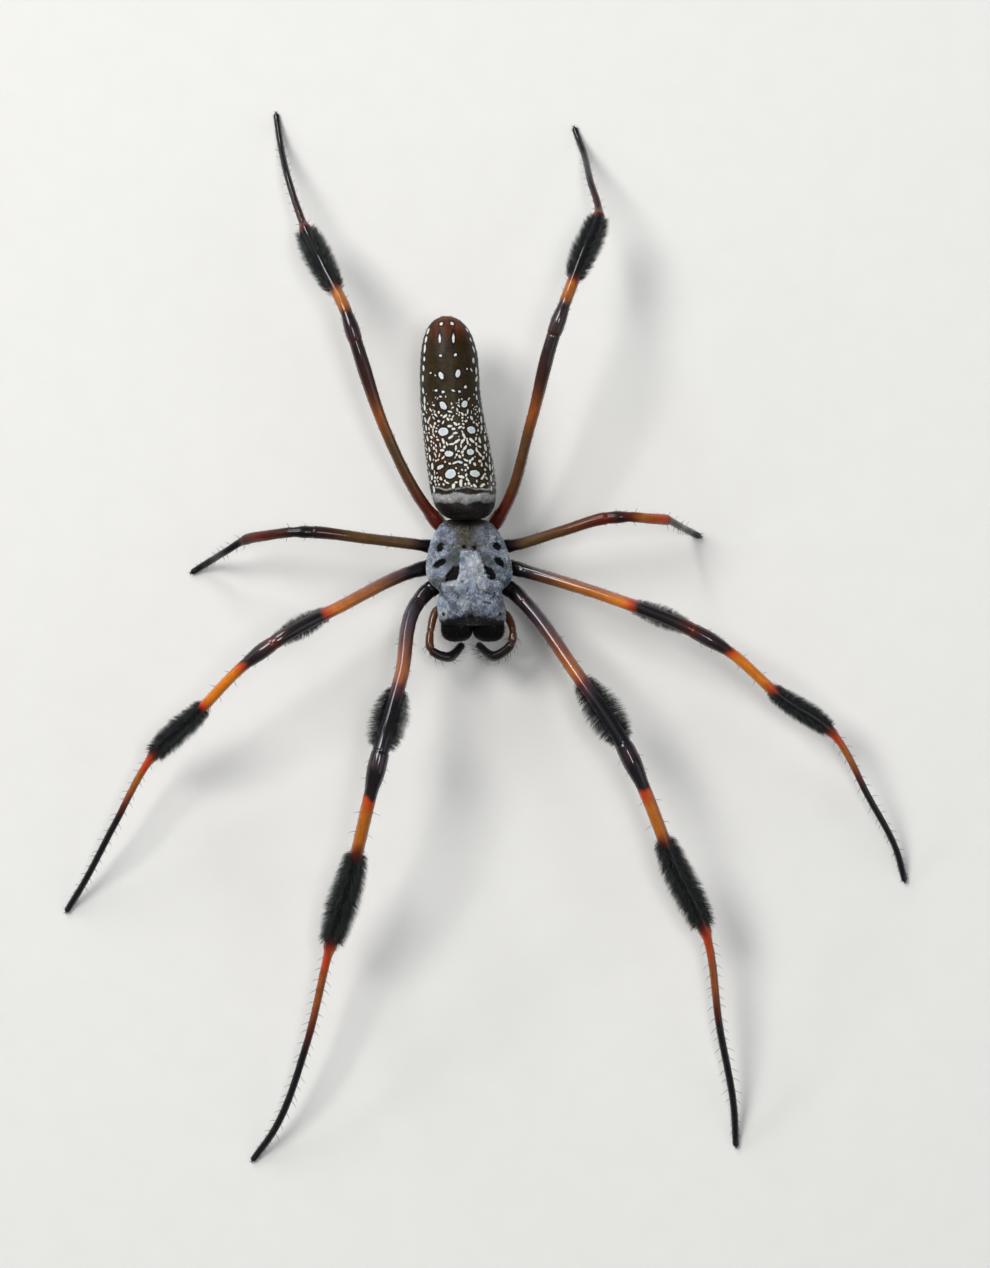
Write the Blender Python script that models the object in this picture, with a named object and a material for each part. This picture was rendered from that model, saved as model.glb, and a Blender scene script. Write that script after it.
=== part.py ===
"""Golden silk orb weaver: a still, life-size female spider standing on her eight leg tips.

Sizes are in millimetres and become metres when a mesh is written. The abdomen points to +Y,
the head to -Y, +X is the spider's left side, and the leg tips stand on z = 0.
"""
import math
import random

import bmesh
import bpy
import numpy as np

MM = 0.001
GAP = 0.3

# Body axis in plan: the head and thorax lean a little, the abdomen a little more.
HEAD_X = -1.42
HEAD_LEAN = 0.06
WAIST_Y = 12.0
ABDOMEN_LEAN = 0.095
# The abdomen bows to the right in its middle: how far, where, and over what length.
ABDOMEN_BOW = 0.40
BOW_Y = 23.3
BOW_SPAN = 5.0

# Carapace stations: y, half width, top height, rim height, sternum half width, sternum underside.
CARAPACE = (
    (1.35, 2.75, 8.90, 8.10, 0.60, 7.80),
    (1.60, 3.15, 9.70, 7.95, 0.70, 7.60),
    (2.30, 3.34, 10.70, 7.85, 0.80, 7.40),
    (3.10, 3.38, 11.15, 7.75, 0.85, 7.20),
    (3.90, 3.22, 11.30, 7.70, 0.90, 5.60),
    (4.75, 3.15, 11.15, 7.65, 1.40, 4.75),
    (5.40, 3.85, 10.90, 7.60, 1.65, 4.55),
    (6.20, 4.22, 10.65, 7.60, 1.80, 4.45),
    (7.20, 4.24, 10.40, 7.60, 1.80, 4.45),
    (8.20, 4.06, 10.25, 7.60, 1.70, 4.50),
    (9.20, 3.76, 10.10, 7.60, 1.50, 4.60),
    (10.00, 3.45, 9.85, 7.65, 1.10, 4.85),
    (10.40, 3.22, 9.65, 7.70, 0.85, 5.40),
    (10.75, 2.96, 9.42, 7.80, 0.70, 7.40),
    (11.30, 2.45, 9.05, 7.95, 0.60, 7.60),
    (11.70, 1.70, 8.60, 8.10, 0.50, 7.72),
)
DOME_STEPS = 7
DOME_SQUARENESS = 0.86
# Below its rim the carapace turns in to a flat lip before it drops to the sternum.
LIP_INSET = 0.90
LIP_DEPTH = 0.22
LIP_THICKNESS = 0.28
LEAST_DEPTH = 0.35

# Abdomen stations: y, half width, half height, centre height.
ABDOMEN = (
    (11.76, 1.15, 0.42, 9.90),
    (12.02, 1.98, 0.98, 9.60),
    (12.70, 2.74, 1.85, 8.88),
    (13.70, 3.12, 2.60, 8.15),
    (15.70, 3.33, 3.10, 7.80),
    (18.00, 3.30, 3.20, 7.85),
    (20.50, 3.18, 3.15, 7.95),
    (23.50, 3.02, 3.05, 8.10),
    (26.20, 2.94, 2.95, 8.25),
    (28.40, 2.78, 2.75, 8.40),
    (29.80, 2.45, 2.40, 8.50),
    (30.90, 1.90, 1.85, 8.55),
    (31.60, 1.20, 1.15, 8.60),
    (31.95, 0.45, 0.45, 8.60),
)
ABDOMEN_SIDES = 20

PEDICEL_FROM = (11.17, 6.65)
PEDICEL_TO = (12.32, 7.07)
PEDICEL_RADIUS = 0.5

# Spinnerets: a low mound under the abdomen with three pairs of short cones.
SPINNERET_Y = 27.2
MOUND_RADIUS = 1.0
MOUND_HEIGHT = 0.55
SPINNERET_PAIRS = ((-0.42, 0.46, 1.00, 0.36), (0.42, 0.44, 1.05, 0.34), (0.02, 0.22, 0.75, 0.26))

EYE_RADIUS = 0.26
# Eyes: distance from the body axis, y, height; one on each side.
EYES = ((0.42, 1.58, 9.35), (0.46, 2.02, 10.15), (2.62, 1.92, 9.15), (2.72, 2.45, 9.75))

# Chelicera rings from top to bottom: height, y, half width, half depth.
CHELICERA = (
    (7.30, 1.22, 1.05, 0.84),
    (7.05, 1.08, 1.37, 1.13),
    (6.60, 0.98, 1.49, 1.34),
    (5.60, 1.02, 1.48, 1.28),
    (4.60, 1.15, 1.32, 1.10),
    (3.80, 1.28, 1.02, 0.90),
    (3.35, 1.35, 0.70, 0.66),
)
CHELICERA_X = 1.65
CHELICERA_SQUARENESS = 0.80
JAW_SIDES = 14
FANG_PATH = ((1.60, 1.32, 2.92), (1.50, 1.15, 2.52), (1.00, 1.05, 2.34), (0.42, 1.15, 2.45))
FANG_RADII = (0.34, 0.30, 0.22, 0.10)

# Pedipalps: distance from the body axis, y, height. Each curls forward round its chelicera.
PALPS = {
    "left": ((1.15, 3.35, 5.2), (3.25, 2.50, 5.9), (3.95, 1.00, 6.4), (3.80, -0.45, 6.5),
             (2.05, -1.80, 5.7), (0.35, -0.75, 3.7)),
    "right": ((1.15, 3.35, 5.2), (3.35, 2.90, 5.9), (4.15, 1.00, 6.3), (4.25, -1.15, 6.5),
              (2.70, -1.90, 5.7), (1.05, -0.80, 3.8)),
}
PALP_RADII = (0.40, 0.43, 0.37, 0.44, 0.45, 0.36)
PALP_SPLIT = 3
PALP_GAP = 0.5

# Hips: distance from the body axis, y and height of the coxa's root, its end and the femur's start.
HIPS = {
    1: ((2.15, 5.55, 5.7), (4.20, 4.70, 6.2), (5.20, 3.65, 6.8)),
    2: ((2.30, 7.20, 5.7), (4.45, 6.95, 6.2), (5.50, 6.65, 6.8)),
    3: ((2.15, 8.90, 5.7), (3.70, 9.10, 6.2), (4.40, 9.20, 6.7)),
    4: ((1.75, 10.40, 5.7), (2.70, 11.35, 6.2), (3.55, 12.45, 6.8)),
}

# Outer joints of each leg: knee, end of patella, end of tibia, end of metatarsus, tip.
LEGS = {
    "leg_1_left": ((13.5, -10.5, 11.2), (15.3, -14.3, 11.2), (21.8, -29.5, 7.2),
                   (24.7, -47.4, 1.5), (24.9, -50.9, 0.24)),
    "leg_1_right": ((-10.5, -11.2, 14.0), (-11.4, -15.0, 13.8), (-15.7, -31.1, 7.4),
                    (-21.6, -49.7, 1.5), (-23.5, -52.3, 0.24)),
    "leg_2_left": ((20.3, 0.8, 10.4), (23.8, -1.2, 10.4), (34.5, -9.6, 6.2),
                   (41.1, -21.8, 1.3), (41.8, -24.4, 0.24)),
    "leg_2_right": ((-21.1, -0.5, 13.6), (-23.8, -2.5, 13.0), (-33.5, -12.1, 6.6),
                    (-40.7, -25.2, 1.3), (-42.1, -27.4, 0.24)),
    "leg_3_left": ((12.0, 11.9, 10.4), (14.2, 12.0, 10.5), (18.0, 11.7, 7.4),
                   (19.9, 10.8, 2.2), (21.4, 10.1, 0.24)),
    "leg_3_right": ((-17.3, 10.5, 9.6), (-19.2, 10.5, 9.6), (-24.2, 9.7, 5.8),
                    (-27.6, 7.7, 1.6), (-29.6, 6.5, 0.24)),
    "leg_4_left": ((6.6, 30.0, 12.8), (7.7, 33.1, 12.8), (11.1, 42.2, 8.2),
                   (9.6, 48.6, 1.7), (8.7, 51.1, 0.24)),
    "leg_4_right": ((-13.0, 29.4, 12.6), (-13.9, 32.2, 12.5), (-18.2, 41.0, 6.6),
                    (-20.7, 49.8, 1.4), (-21.1, 52.5, 0.24)),
}
# Sideways bow at the middle of femur, tibia and metatarsus, to the left of the way to the tip.
BOWS = {
    "leg_1_left": (0.22, -0.22, -0.13), "leg_1_right": (0.14, 0.20, 0.67),
    "leg_2_left": (0.34, -0.34, 0.13), "leg_2_right": (-0.20, 0.06, -0.03),
    "leg_3_left": (0.0, 0.0, 0.0), "leg_3_right": (0.0, -0.10, 0.0),
    "leg_4_left": (-0.30, 0.0, 0.04), "leg_4_right": (0.80, 0.06, 0.24),
}
ARCHES = (0.9, 0.5, 0.7)
TOE_LENGTH = 0.5
TOE_HEIGHT = 0.27

# Each segment's radius at shares along it, on the first leg. The last pair's femur swells at its end.
SEGMENT_RADII = {
    "coxa": ((0.0, 0.62), (0.5, 0.90), (1.0, 0.79)),
    "femur": ((0.0, 0.76), (0.45, 0.70), (0.8, 0.75), (1.0, 0.84)),
    "patella": ((0.0, 0.92), (0.2, 0.97), (0.5, 0.99), (0.8, 0.84), (1.0, 0.72)),
    "tibia": ((0.0, 0.69), (0.25, 0.66), (0.8, 0.70), (1.0, 0.69)),
    "metatarsus": ((0.0, 0.51), (0.05, 0.44), (0.3, 0.40), (1.0, 0.38)),
    "tarsus": ((0.0, 0.38), (0.5, 0.37), (1.0, 0.33)),
}
LAST_FEMUR = ((0.0, 0.72), (0.35, 0.63), (0.6, 0.68), (0.85, 0.84), (1.0, 0.80))
# How stout each pair's segments are beside those.
STOUTNESS = {
    1: {"coxa": 1.0, "femur": 1.03, "patella": 1.0, "tibia": 1.0, "metatarsus": 0.96, "tarsus": 0.96},
    2: {"coxa": 0.94, "femur": 0.90, "patella": 0.82, "tibia": 0.92, "metatarsus": 0.88, "tarsus": 0.92},
    3: {"coxa": 0.84, "femur": 0.78, "patella": 0.64, "tibia": 0.78, "metatarsus": 0.88, "tarsus": 0.92},
    4: {"coxa": 0.92, "femur": 0.86, "patella": 0.80, "tibia": 0.92, "metatarsus": 0.87, "tarsus": 0.90},
}
LEG_SIDES = 8
RING_PLACES = {
    "coxa": (0.0, 0.06, 0.3, 0.62, 0.94, 1.0), "femur": (0.0, 0.03, 0.2, 0.4, 0.6, 0.8, 0.97, 1.0),
    "patella": (0.0, 0.08, 0.5, 0.92, 1.0), "tibia": (0.0, 0.03, 0.25, 0.5, 0.75, 0.97, 1.0),
    "metatarsus": (0.0, 0.03, 0.25, 0.5, 0.75, 0.98, 1.0), "tarsus": (0.0, 0.06, 0.5, 0.85, 1.0),
}
END_TAPER = 0.88

# Hair tufts: where the hair starts and ends along its segment, its reach from the axis,
# rows of locks, locks in a row, and how far up each side they grow, in degrees from underneath.
TUFTS = {
    "leg_1_left": {"femur": (0.58, 0.98, 2.30, 5, 6, 125), "tibia": (0.36, 0.97, 1.95, 6, 6, 150)},
    "leg_1_right": {"femur": (0.61, 0.98, 2.35, 5, 6, 125), "tibia": (0.38, 0.97, 2.00, 6, 6, 150)},
    "leg_2_left": {"femur": (0.66, 0.97, 1.38, 4, 3, 85), "tibia": (0.43, 0.97, 1.45, 5, 6, 145)},
    "leg_2_right": {"femur": (0.64, 0.97, 1.45, 4, 3, 85), "tibia": (0.43, 0.97, 1.60, 5, 6, 145)},
    "leg_4_left": {"tibia": (0.28, 0.97, 1.70, 5, 6, 138)},
    "leg_4_right": {"tibia": (0.25, 0.97, 1.76, 5, 6, 138)},
}
CORE_SHARE = 0.33
LOCK_SLANT = math.radians(55)
LOCK_THICKNESS = 0.5
LOCK_SINK = 0.35
LOCK_BEND = 0.3
LOCK_COVER = 0.95

FINISHES = {
    "silver felt": ((0.42, 0.43, 0.45), 0.75), "patterned cuticle": ((0.10, 0.06, 0.03), 0.45),
    "black cuticle": ((0.012, 0.010, 0.012), 0.25), "brown cuticle": ((0.10, 0.045, 0.018), 0.30),
    "amber cuticle": ((0.48, 0.17, 0.03), 0.30), "black tuft": ((0.010, 0.011, 0.012), 0.60),
}
SEGMENT_FINISH = {
    "coxa": "brown cuticle", "femur": "brown cuticle", "patella": "black cuticle",
    "tibia": "amber cuticle", "metatarsus": "brown cuticle", "tarsus": "black cuticle",
}


def clear_scene():
    for item in list(bpy.data.objects):
        bpy.data.objects.remove(item, do_unlink=True)


def add_material(name, finish):
    colour, roughness = FINISHES[finish]
    material = bpy.data.materials.new(f"{name} {finish}")
    material.use_nodes = True
    shader = material.node_tree.nodes["Principled BSDF"]
    shader.inputs["Base Color"].default_value = (*colour, 1.0)
    shader.inputs["Roughness"].default_value = roughness
    shader.inputs["Metallic"].default_value = 0.0
    return material


def add_object(name, mesh, finish):
    mesh.name = name
    mesh.shade_smooth()
    mesh.set_sharp_from_angle(angle=math.radians(40))
    mesh.materials.append(add_material(name, finish))
    item = bpy.data.objects.new(name, mesh)
    bpy.context.scene.collection.objects.link(item)
    return item


def loft(rings, tip=None):
    """A closed mesh through rings of equally many points, with a flat face or a point at its end."""
    rings = np.asarray(rings, dtype=float)
    count, sides = rings.shape[:2]
    points = [tuple(point) for point in rings.reshape(-1, 3) * MM]
    faces = [tuple(range(sides))]
    last = (count - 1) * sides
    if tip is None:
        faces.append(tuple(range(last, last + sides)))
    else:
        points.append(tuple(np.asarray(tip) * MM))
        faces += [(last + side, last + (side + 1) % sides, last + sides) for side in range(sides)]
    for row in range(count - 1):
        for side in range(sides):
            following = (side + 1) % sides
            faces.append((row * sides + side, row * sides + following,
                          (row + 1) * sides + following, (row + 1) * sides + side))
    mesh = bpy.data.meshes.new("loft")
    mesh.from_pydata(points, [], faces)
    work = bmesh.new()
    work.from_mesh(mesh)
    bmesh.ops.recalc_face_normals(work, faces=work.faces)
    work.to_mesh(mesh)
    work.free()
    return mesh


def union(name, meshes):
    """One closed mesh: the first mesh with all the others joined to it."""
    holder = bpy.data.collections.new(f"{name} pieces")
    bpy.context.scene.collection.children.link(holder)
    pieces = [bpy.data.objects.new(f"{name} piece", mesh) for mesh in meshes]
    bpy.context.scene.collection.objects.link(pieces[0])
    for piece in pieces[1:]:
        holder.objects.link(piece)
    cut = pieces[0].modifiers.new("join", "BOOLEAN")
    cut.operation = "UNION"
    cut.solver = "EXACT"
    cut.operand_type = "COLLECTION"
    cut.collection = holder
    graph = bpy.context.evaluated_depsgraph_get()
    joined = bpy.data.meshes.new_from_object(pieces[0].evaluated_get(graph), depsgraph=graph)
    for piece in pieces:
        bpy.data.objects.remove(piece, do_unlink=True)
    bpy.data.collections.remove(holder)
    return largest_surface(joined)


def largest_surface(mesh):
    """Keeps only the connected surface with the most volume."""
    work = bmesh.new()
    work.from_mesh(mesh)
    waiting = set(work.faces)
    islands = []
    while waiting:
        island = [waiting.pop()]
        for face in island:
            for edge in face.edges:
                for other in edge.link_faces:
                    if other in waiting:
                        waiting.discard(other)
                        island.append(other)
        islands.append(island)

    def volume(island):
        return sum(face.calc_center_median().dot(face.normal) * face.calc_area() for face in island)

    islands.sort(key=volume, reverse=True)
    drop = [face for island in islands[1:] for face in island]
    bmesh.ops.delete(work, geom=drop, context="FACES")
    work.to_mesh(mesh)
    work.free()
    return mesh


def smooth_path(points, steps=16):
    """A smooth curve through the points, as a dense row of places and their distance along it."""
    points = np.asarray(points, dtype=float)
    lengths = np.linalg.norm(np.diff(points, axis=0), axis=1)
    slopes = np.diff(points, axis=0) / lengths[:, None]
    tangents = np.empty_like(points)
    tangents[0], tangents[-1] = slopes[0], slopes[-1]
    before, after = lengths[:-1, None], lengths[1:, None]
    tangents[1:-1] = (slopes[:-1] * after + slopes[1:] * before) / (before + after)
    t = np.linspace(0.0, 1.0, steps, endpoint=False)[:, None]
    rows = []
    for i, length in enumerate(lengths):
        rows.append((2 * t**3 - 3 * t**2 + 1) * points[i] + (t**3 - 2 * t**2 + t) * length * tangents[i]
                    + (3 * t**2 - 2 * t**3) * points[i + 1] + (t**3 - t**2) * length * tangents[i + 1])
    curve = np.vstack(rows + [points[-1:]])
    along = np.concatenate([[0.0], np.cumsum(np.linalg.norm(np.diff(curve, axis=0), axis=1))])
    return curve, along, along[::steps]


def place_on(path, distance):
    """The point, the direction and the two cross directions (side, top) at a distance along a path."""
    curve, along, _ = path
    step = 0.05

    def at(s):
        return np.array([np.interp(s, along, curve[:, axis]) for axis in range(3)])

    ahead = at(min(distance + step, along[-1])) - at(max(distance - step, 0.0))
    ahead /= np.linalg.norm(ahead)
    side = np.cross(ahead, (0.0, 0.0, 1.0))
    side /= np.linalg.norm(side)
    return at(distance), ahead, side, np.cross(side, ahead)


def ring(path, distance, radius, sides):
    centre, _, side, top = place_on(path, distance)
    angles = (np.arange(sides) + 0.5) * 2 * math.pi / sides
    return centre + radius * (np.cos(angles)[:, None] * side + np.sin(angles)[:, None] * top)


def head_axis(y):
    return HEAD_X - HEAD_LEAN * (y - 1.0)


def abdomen_axis(y):
    bow = ABDOMEN_BOW * np.exp(-((y - BOW_Y) / BOW_SPAN) ** 2)
    return head_axis(WAIST_Y) - ABDOMEN_LEAN * (y - WAIST_Y) - bow


def add_cephalothorax():
    """Carapace dome over a narrower sternum, with eight small eyes on the front."""
    rings = []
    for y, half, top, rim, sternum, under in CARAPACE:
        turn = np.linspace(0.0, math.pi / 2, DOME_STEPS)
        x = half * np.sin(turn) ** DOME_SQUARENESS
        z = rim + (top - rim) * np.cos(turn) ** DOME_SQUARENESS
        z[-1] = rim
        lower_x = np.array([LIP_INSET * half, sternum * 1.12, sternum, sternum * 0.8])
        floor = min(under, rim - LEAST_DEPTH)
        lip = rim - LIP_THICKNESS
        lower_z = np.array([rim - LIP_DEPTH, lip, floor + 0.3 * (lip - floor), floor + 0.06])
        side_x = np.concatenate([x, lower_x])
        side_z = np.concatenate([z, lower_z])
        outline_x = np.concatenate([side_x, [0.0], -side_x[:0:-1]])
        outline_z = np.concatenate([side_z, [floor], side_z[:0:-1]])
        rings.append(np.stack([head_axis(y) + outline_x, np.full(outline_x.size, y), outline_z], axis=1))
    pieces = [loft(rings)]
    for out, y, z in EYES:
        for side in (-1, 1):
            pieces.append(eye((head_axis(y) + side * out, y, z)))
    add_object("cephalothorax", union("cephalothorax", pieces), "silver felt")


def eye(centre):
    """A low ball of a few rings."""
    rings = []
    for height in (-0.9, -0.2, 0.45, 0.9):
        radius = EYE_RADIUS * math.sqrt(1 - height**2)
        angles = np.arange(8) * math.pi / 4
        rings.append(np.stack([centre[0] + radius * np.cos(angles),
                               np.full(8, centre[1] + EYE_RADIUS * height),
                               centre[2] + radius * np.sin(angles)], axis=1))
    return loft(rings)


def add_abdomen():
    """A long barrel with a rounded rear end."""
    angles = np.arange(ABDOMEN_SIDES) * 2 * math.pi / ABDOMEN_SIDES
    rings = [np.stack([abdomen_axis(y) + half * np.cos(angles), np.full(ABDOMEN_SIDES, y),
                       centre + tall * np.sin(angles)], axis=1) for y, half, tall, centre in ABDOMEN]
    add_object("abdomen", loft(rings), "patterned cuticle")


def add_pedicel():
    """The short waist between carapace and abdomen."""
    ends = [(head_axis(y), y, z) for y, z in (PEDICEL_FROM, PEDICEL_TO)]
    path = smooth_path(ends)
    rings = [ring(path, place * path[1][-1], PEDICEL_RADIUS, LEG_SIDES) for place in (0.0, 0.5, 1.0)]
    add_object("pedicel", loft(rings), "brown cuticle")


def cone(base, tip, base_radius, tip_radius, sides=6):
    path = smooth_path((base, tip), steps=4)
    length = path[1][-1]
    return loft([ring(path, 0.0, base_radius, sides), ring(path, 0.7 * length, 0.75 * base_radius, sides),
                 ring(path, length, tip_radius, sides)])


def abdomen_underside(x, y):
    """Height of the abdomen's lower surface at a place in plan."""
    stations = np.array(ABDOMEN)
    half, tall, centre = (np.interp(y, stations[:, 0], stations[:, column]) for column in (1, 2, 3))
    return centre - tall * np.sqrt(1 - ((x - abdomen_axis(y)) / half) ** 2)


def add_spinnerets():
    """A mound close under the abdomen, with three pairs of cones that point down and back."""
    x = abdomen_axis(SPINNERET_Y)
    angles = np.arange(12) * math.pi / 6
    rings = []
    for depth, share in ((0.0, 1.0), (0.5, 0.94), (1.0, 0.62)):
        ring_x = x + share * MOUND_RADIUS * np.cos(angles)
        ring_y = SPINNERET_Y + share * MOUND_RADIUS * np.sin(angles)
        top = abdomen_underside(ring_x, ring_y) - GAP
        rings.append(np.stack([ring_x, ring_y, top - depth * MOUND_HEIGHT], axis=1))
    pieces = [loft(rings)]
    mound_top = abdomen_underside(x, SPINNERET_Y) - GAP
    for back, out, length, radius in SPINNERET_PAIRS:
        for side in (-1, 1):
            root = (x + side * out, SPINNERET_Y + back, mound_top - 0.3 * MOUND_HEIGHT)
            tip = (x + side * out * 0.8, SPINNERET_Y + back + 0.25 * length, root[2] - length)
            pieces.append(cone(root, tip, radius, 0.3 * radius))
    add_object("spinnerets", union("spinnerets", pieces), "brown cuticle")


def add_chelicera(name, side):
    """A stout jaw that bulges forward under the head, and the curved fang below it."""
    angles = (np.arange(JAW_SIDES) + 0.5) * 2 * math.pi / JAW_SIDES
    across = np.sign(np.cos(angles)) * np.abs(np.cos(angles)) ** CHELICERA_SQUARENESS
    through = np.sign(np.sin(angles)) * np.abs(np.sin(angles)) ** CHELICERA_SQUARENESS
    rings = [np.stack([head_axis(y) + side * CHELICERA_X + half * across, y + deep * through,
                       np.full(JAW_SIDES, z)], axis=1) for z, y, half, deep in CHELICERA]
    add_object(f"chelicera_{name}", loft(rings), "black cuticle")
    path = smooth_path([(head_axis(y) + side * out, y, z) for out, y, z in FANG_PATH])
    rings = [ring(path, path[2][i], radius, 6) for i, radius in enumerate(FANG_RADII)]
    add_object(f"fang_{name}", loft(rings), "black cuticle")


def add_pedipalp(name, side):
    """A feeler that curls forward, parted in two at its bend."""
    path = smooth_path([(head_axis(y) + side * out, y, z) for out, y, z in PALPS[name]])
    joints = path[2]
    for piece, first, last in (("femur", 0, PALP_SPLIT), ("tarsus", PALP_SPLIT, len(joints) - 1)):
        start = joints[first] + (PALP_GAP / 2 if first else 0.0)
        end = joints[last] - (PALP_GAP / 2 if first == 0 else 0.0)
        rings = []
        for distance in np.linspace(start, end, 3 * (last - first) + 1):
            radius = np.interp(distance, joints, PALP_RADII)
            rings.append(ring(path, distance, radius, LEG_SIDES))
        finish = "amber cuticle" if piece == "femur" else "black cuticle"
        add_object(f"pedipalp_{name}_{piece}", loft(rings), finish)


def bowed(start, end, bow, arch):
    """The middle of a segment, moved sideways by its bow and up by its arch."""
    start, end = np.asarray(start), np.asarray(end)
    along = end - start
    left = np.array([-along[1], along[0], 0.0]) / math.hypot(along[0], along[1])
    return (start + end) / 2 + bow * left + (0.0, 0.0, arch)


def leg_path(name):
    """The leg's centre line from hip to toe, and the distance along it of each joint."""
    pair, side = int(name[4]), 1 if name.endswith("left") else -1
    hip, coxa_end, femur_start = ((head_axis(y) + side * out, y, z) for out, y, z in HIPS[pair])
    knee, patella_end, tibia_end, foot, tip = LEGS[name]
    femur_mid = bowed(femur_start, knee, BOWS[name][0], ARCHES[0])
    tibia_mid = bowed(patella_end, tibia_end, BOWS[name][1], ARCHES[1])
    foot_mid = bowed(tibia_end, foot, BOWS[name][2], ARCHES[2])
    back = np.array(foot[:2]) - np.array(tip[:2])
    back *= TOE_LENGTH / np.linalg.norm(back)
    toe = (tip[0] + back[0], tip[1] + back[1], TOE_HEIGHT)
    path = smooth_path([hip, coxa_end, femur_start, femur_mid, knee, patella_end, tibia_mid,
                        tibia_end, foot_mid, foot, toe, tip])
    joints = path[2][[0, 2, 4, 5, 7, 9, 11]]
    return path, joints


def segment_radius(segment, pair, place):
    """Radius at a place from 0 to 1: straight runs between the known radii, drawn in at both ends."""
    known = LAST_FEMUR if (pair, segment) == (4, "femur") else SEGMENT_RADII[segment]
    shares, radii = zip(*known)
    radius = STOUTNESS[pair][segment] * float(np.interp(place, shares, radii))
    if place == 0.0 or (place == 1.0 and segment != "tarsus"):
        radius *= END_TAPER
    return radius


def core_radius(tuft, leg_radius, place):
    """The leg under a tuft is a little stouter, and stays well short of the hair's tips."""
    first, last, reach = tuft[:3]
    inside = (place - first) / (last - first)
    if inside <= 0.0 or inside >= 1.0:
        return leg_radius
    return leg_radius + CORE_SHARE * (reach - leg_radius) * math.sin(math.pi * inside) ** 0.5


def lock(root, outward, ahead, rise, width):
    """A flat, tapered lock that leaves the leg at a slant and bends over towards the leg's end."""
    across = np.cross(outward, ahead)
    run = rise * math.tan(LOCK_SLANT)

    def centre(u):
        bend = LOCK_BEND * (u * abs(u) - u)
        return root + outward * rise * (u - bend) + ahead * run * (u + bend)

    rings = []
    for u, wide, thick in ((-LOCK_SINK / rise, 0.8, 1.0), (0.5, 1.3, 0.8)):
        lie = centre(u + 0.05) - centre(u - 0.05)
        flat = np.cross(lie / np.linalg.norm(lie), across)
        half_wide = across * width * wide / 2
        half_thick = flat * LOCK_THICKNESS * thick / 2
        middle = centre(u)
        rings.append([middle + half_wide, middle + half_thick, middle - half_wide, middle - half_thick])
    return loft(rings, tip=centre(1.0))


def tuft_locks(tuft, path, start, end, leg_radius, chance):
    """Rows of locks round the sides and underside of a leg, each row over the roots of the next."""
    first, last, reach, rows, count, sector = tuft
    length = end - start
    locks = []
    run = (reach - core_radius(tuft, leg_radius, (first + last) / 2)) * math.tan(LOCK_SLANT)
    for row in range(rows):
        share = row / (rows - 1)
        distance = start + length * first + 0.1 + share * (length * (last - first) - run - 0.1)
        base = core_radius(tuft, leg_radius, (distance - start) / length)
        swell = 0.82 + 0.18 * math.sin(math.pi * share)
        spread = math.radians(2 * sector) / (count - 0.5)
        for number in range(count):
            turn = (number - (count - 1) / 2 + (0.25 if row % 2 else -0.25)) * spread
            turn += chance.uniform(-0.08, 0.08)
            centre, ahead, side, top = place_on(path, distance + chance.uniform(-0.12, 0.12))
            outward = side * math.sin(turn) - top * math.cos(turn)
            rise = (reach * swell - base) * chance.uniform(0.88, 1.06)
            locks.append(lock(centre + outward * base, outward, ahead, rise, LOCK_COVER * spread * base))
    return locks


def add_leg(name):
    pair = int(name[4])
    chance = random.Random(name)
    path, joints = leg_path(name)
    for index, segment in enumerate(RING_PLACES):
        start = joints[index] + (GAP / 2 if index else 0.0)
        end = joints[index + 1] - (GAP / 2 if segment != "tarsus" else 0.0)
        tuft = TUFTS.get(name, {}).get(segment)
        places = set(RING_PLACES[segment])
        if tuft:
            places |= {tuft[0] + (tuft[1] - tuft[0]) * step for step in (0.02, 0.25, 0.75, 0.98)}
        rings = []
        for place in sorted(places):
            radius = segment_radius(segment, pair, place)
            if tuft:
                radius = core_radius(tuft, radius, place)
            rings.append(ring(path, start + (end - start) * place, radius, LEG_SIDES))
        rings = np.array(rings)
        rings[:, :, 2] = np.maximum(rings[:, :, 2], 0.0)
        mesh = loft(rings)
        finish = SEGMENT_FINISH[segment]
        if tuft:
            leg_radius = segment_radius(segment, pair, 0.5)
            locks = tuft_locks(tuft, path, start, end, leg_radius, chance)
            mesh = union(f"{name}_{segment}", [mesh] + locks)
            finish = "black tuft"
        add_object(f"{name}_{segment}", mesh, finish)


def build():
    clear_scene()
    add_cephalothorax()
    add_abdomen()
    add_pedicel()
    add_spinnerets()
    for name, side in (("left", 1), ("right", -1)):
        add_chelicera(name, side)
        add_pedipalp(name, side)
    for name in LEGS:
        add_leg(name)


build()
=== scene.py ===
import math

import bpy
import numpy as np
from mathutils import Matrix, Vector


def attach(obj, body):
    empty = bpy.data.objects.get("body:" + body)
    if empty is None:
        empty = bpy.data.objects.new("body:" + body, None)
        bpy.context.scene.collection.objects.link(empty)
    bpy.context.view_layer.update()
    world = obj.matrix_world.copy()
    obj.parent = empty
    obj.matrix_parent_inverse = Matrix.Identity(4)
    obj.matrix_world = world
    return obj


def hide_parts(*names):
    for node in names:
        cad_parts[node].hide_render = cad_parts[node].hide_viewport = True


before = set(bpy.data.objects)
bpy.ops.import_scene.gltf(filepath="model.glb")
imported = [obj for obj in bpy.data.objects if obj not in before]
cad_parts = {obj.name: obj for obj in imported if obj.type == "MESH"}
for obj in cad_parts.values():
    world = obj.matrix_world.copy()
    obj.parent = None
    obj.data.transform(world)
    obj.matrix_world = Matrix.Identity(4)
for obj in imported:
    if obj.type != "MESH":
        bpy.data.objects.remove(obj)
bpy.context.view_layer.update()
mm = 0.001
chance = np.random.default_rng(11)
fullTurn = 2 * math.pi
sideSigns = (("left", 1), ("right", -1))
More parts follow.
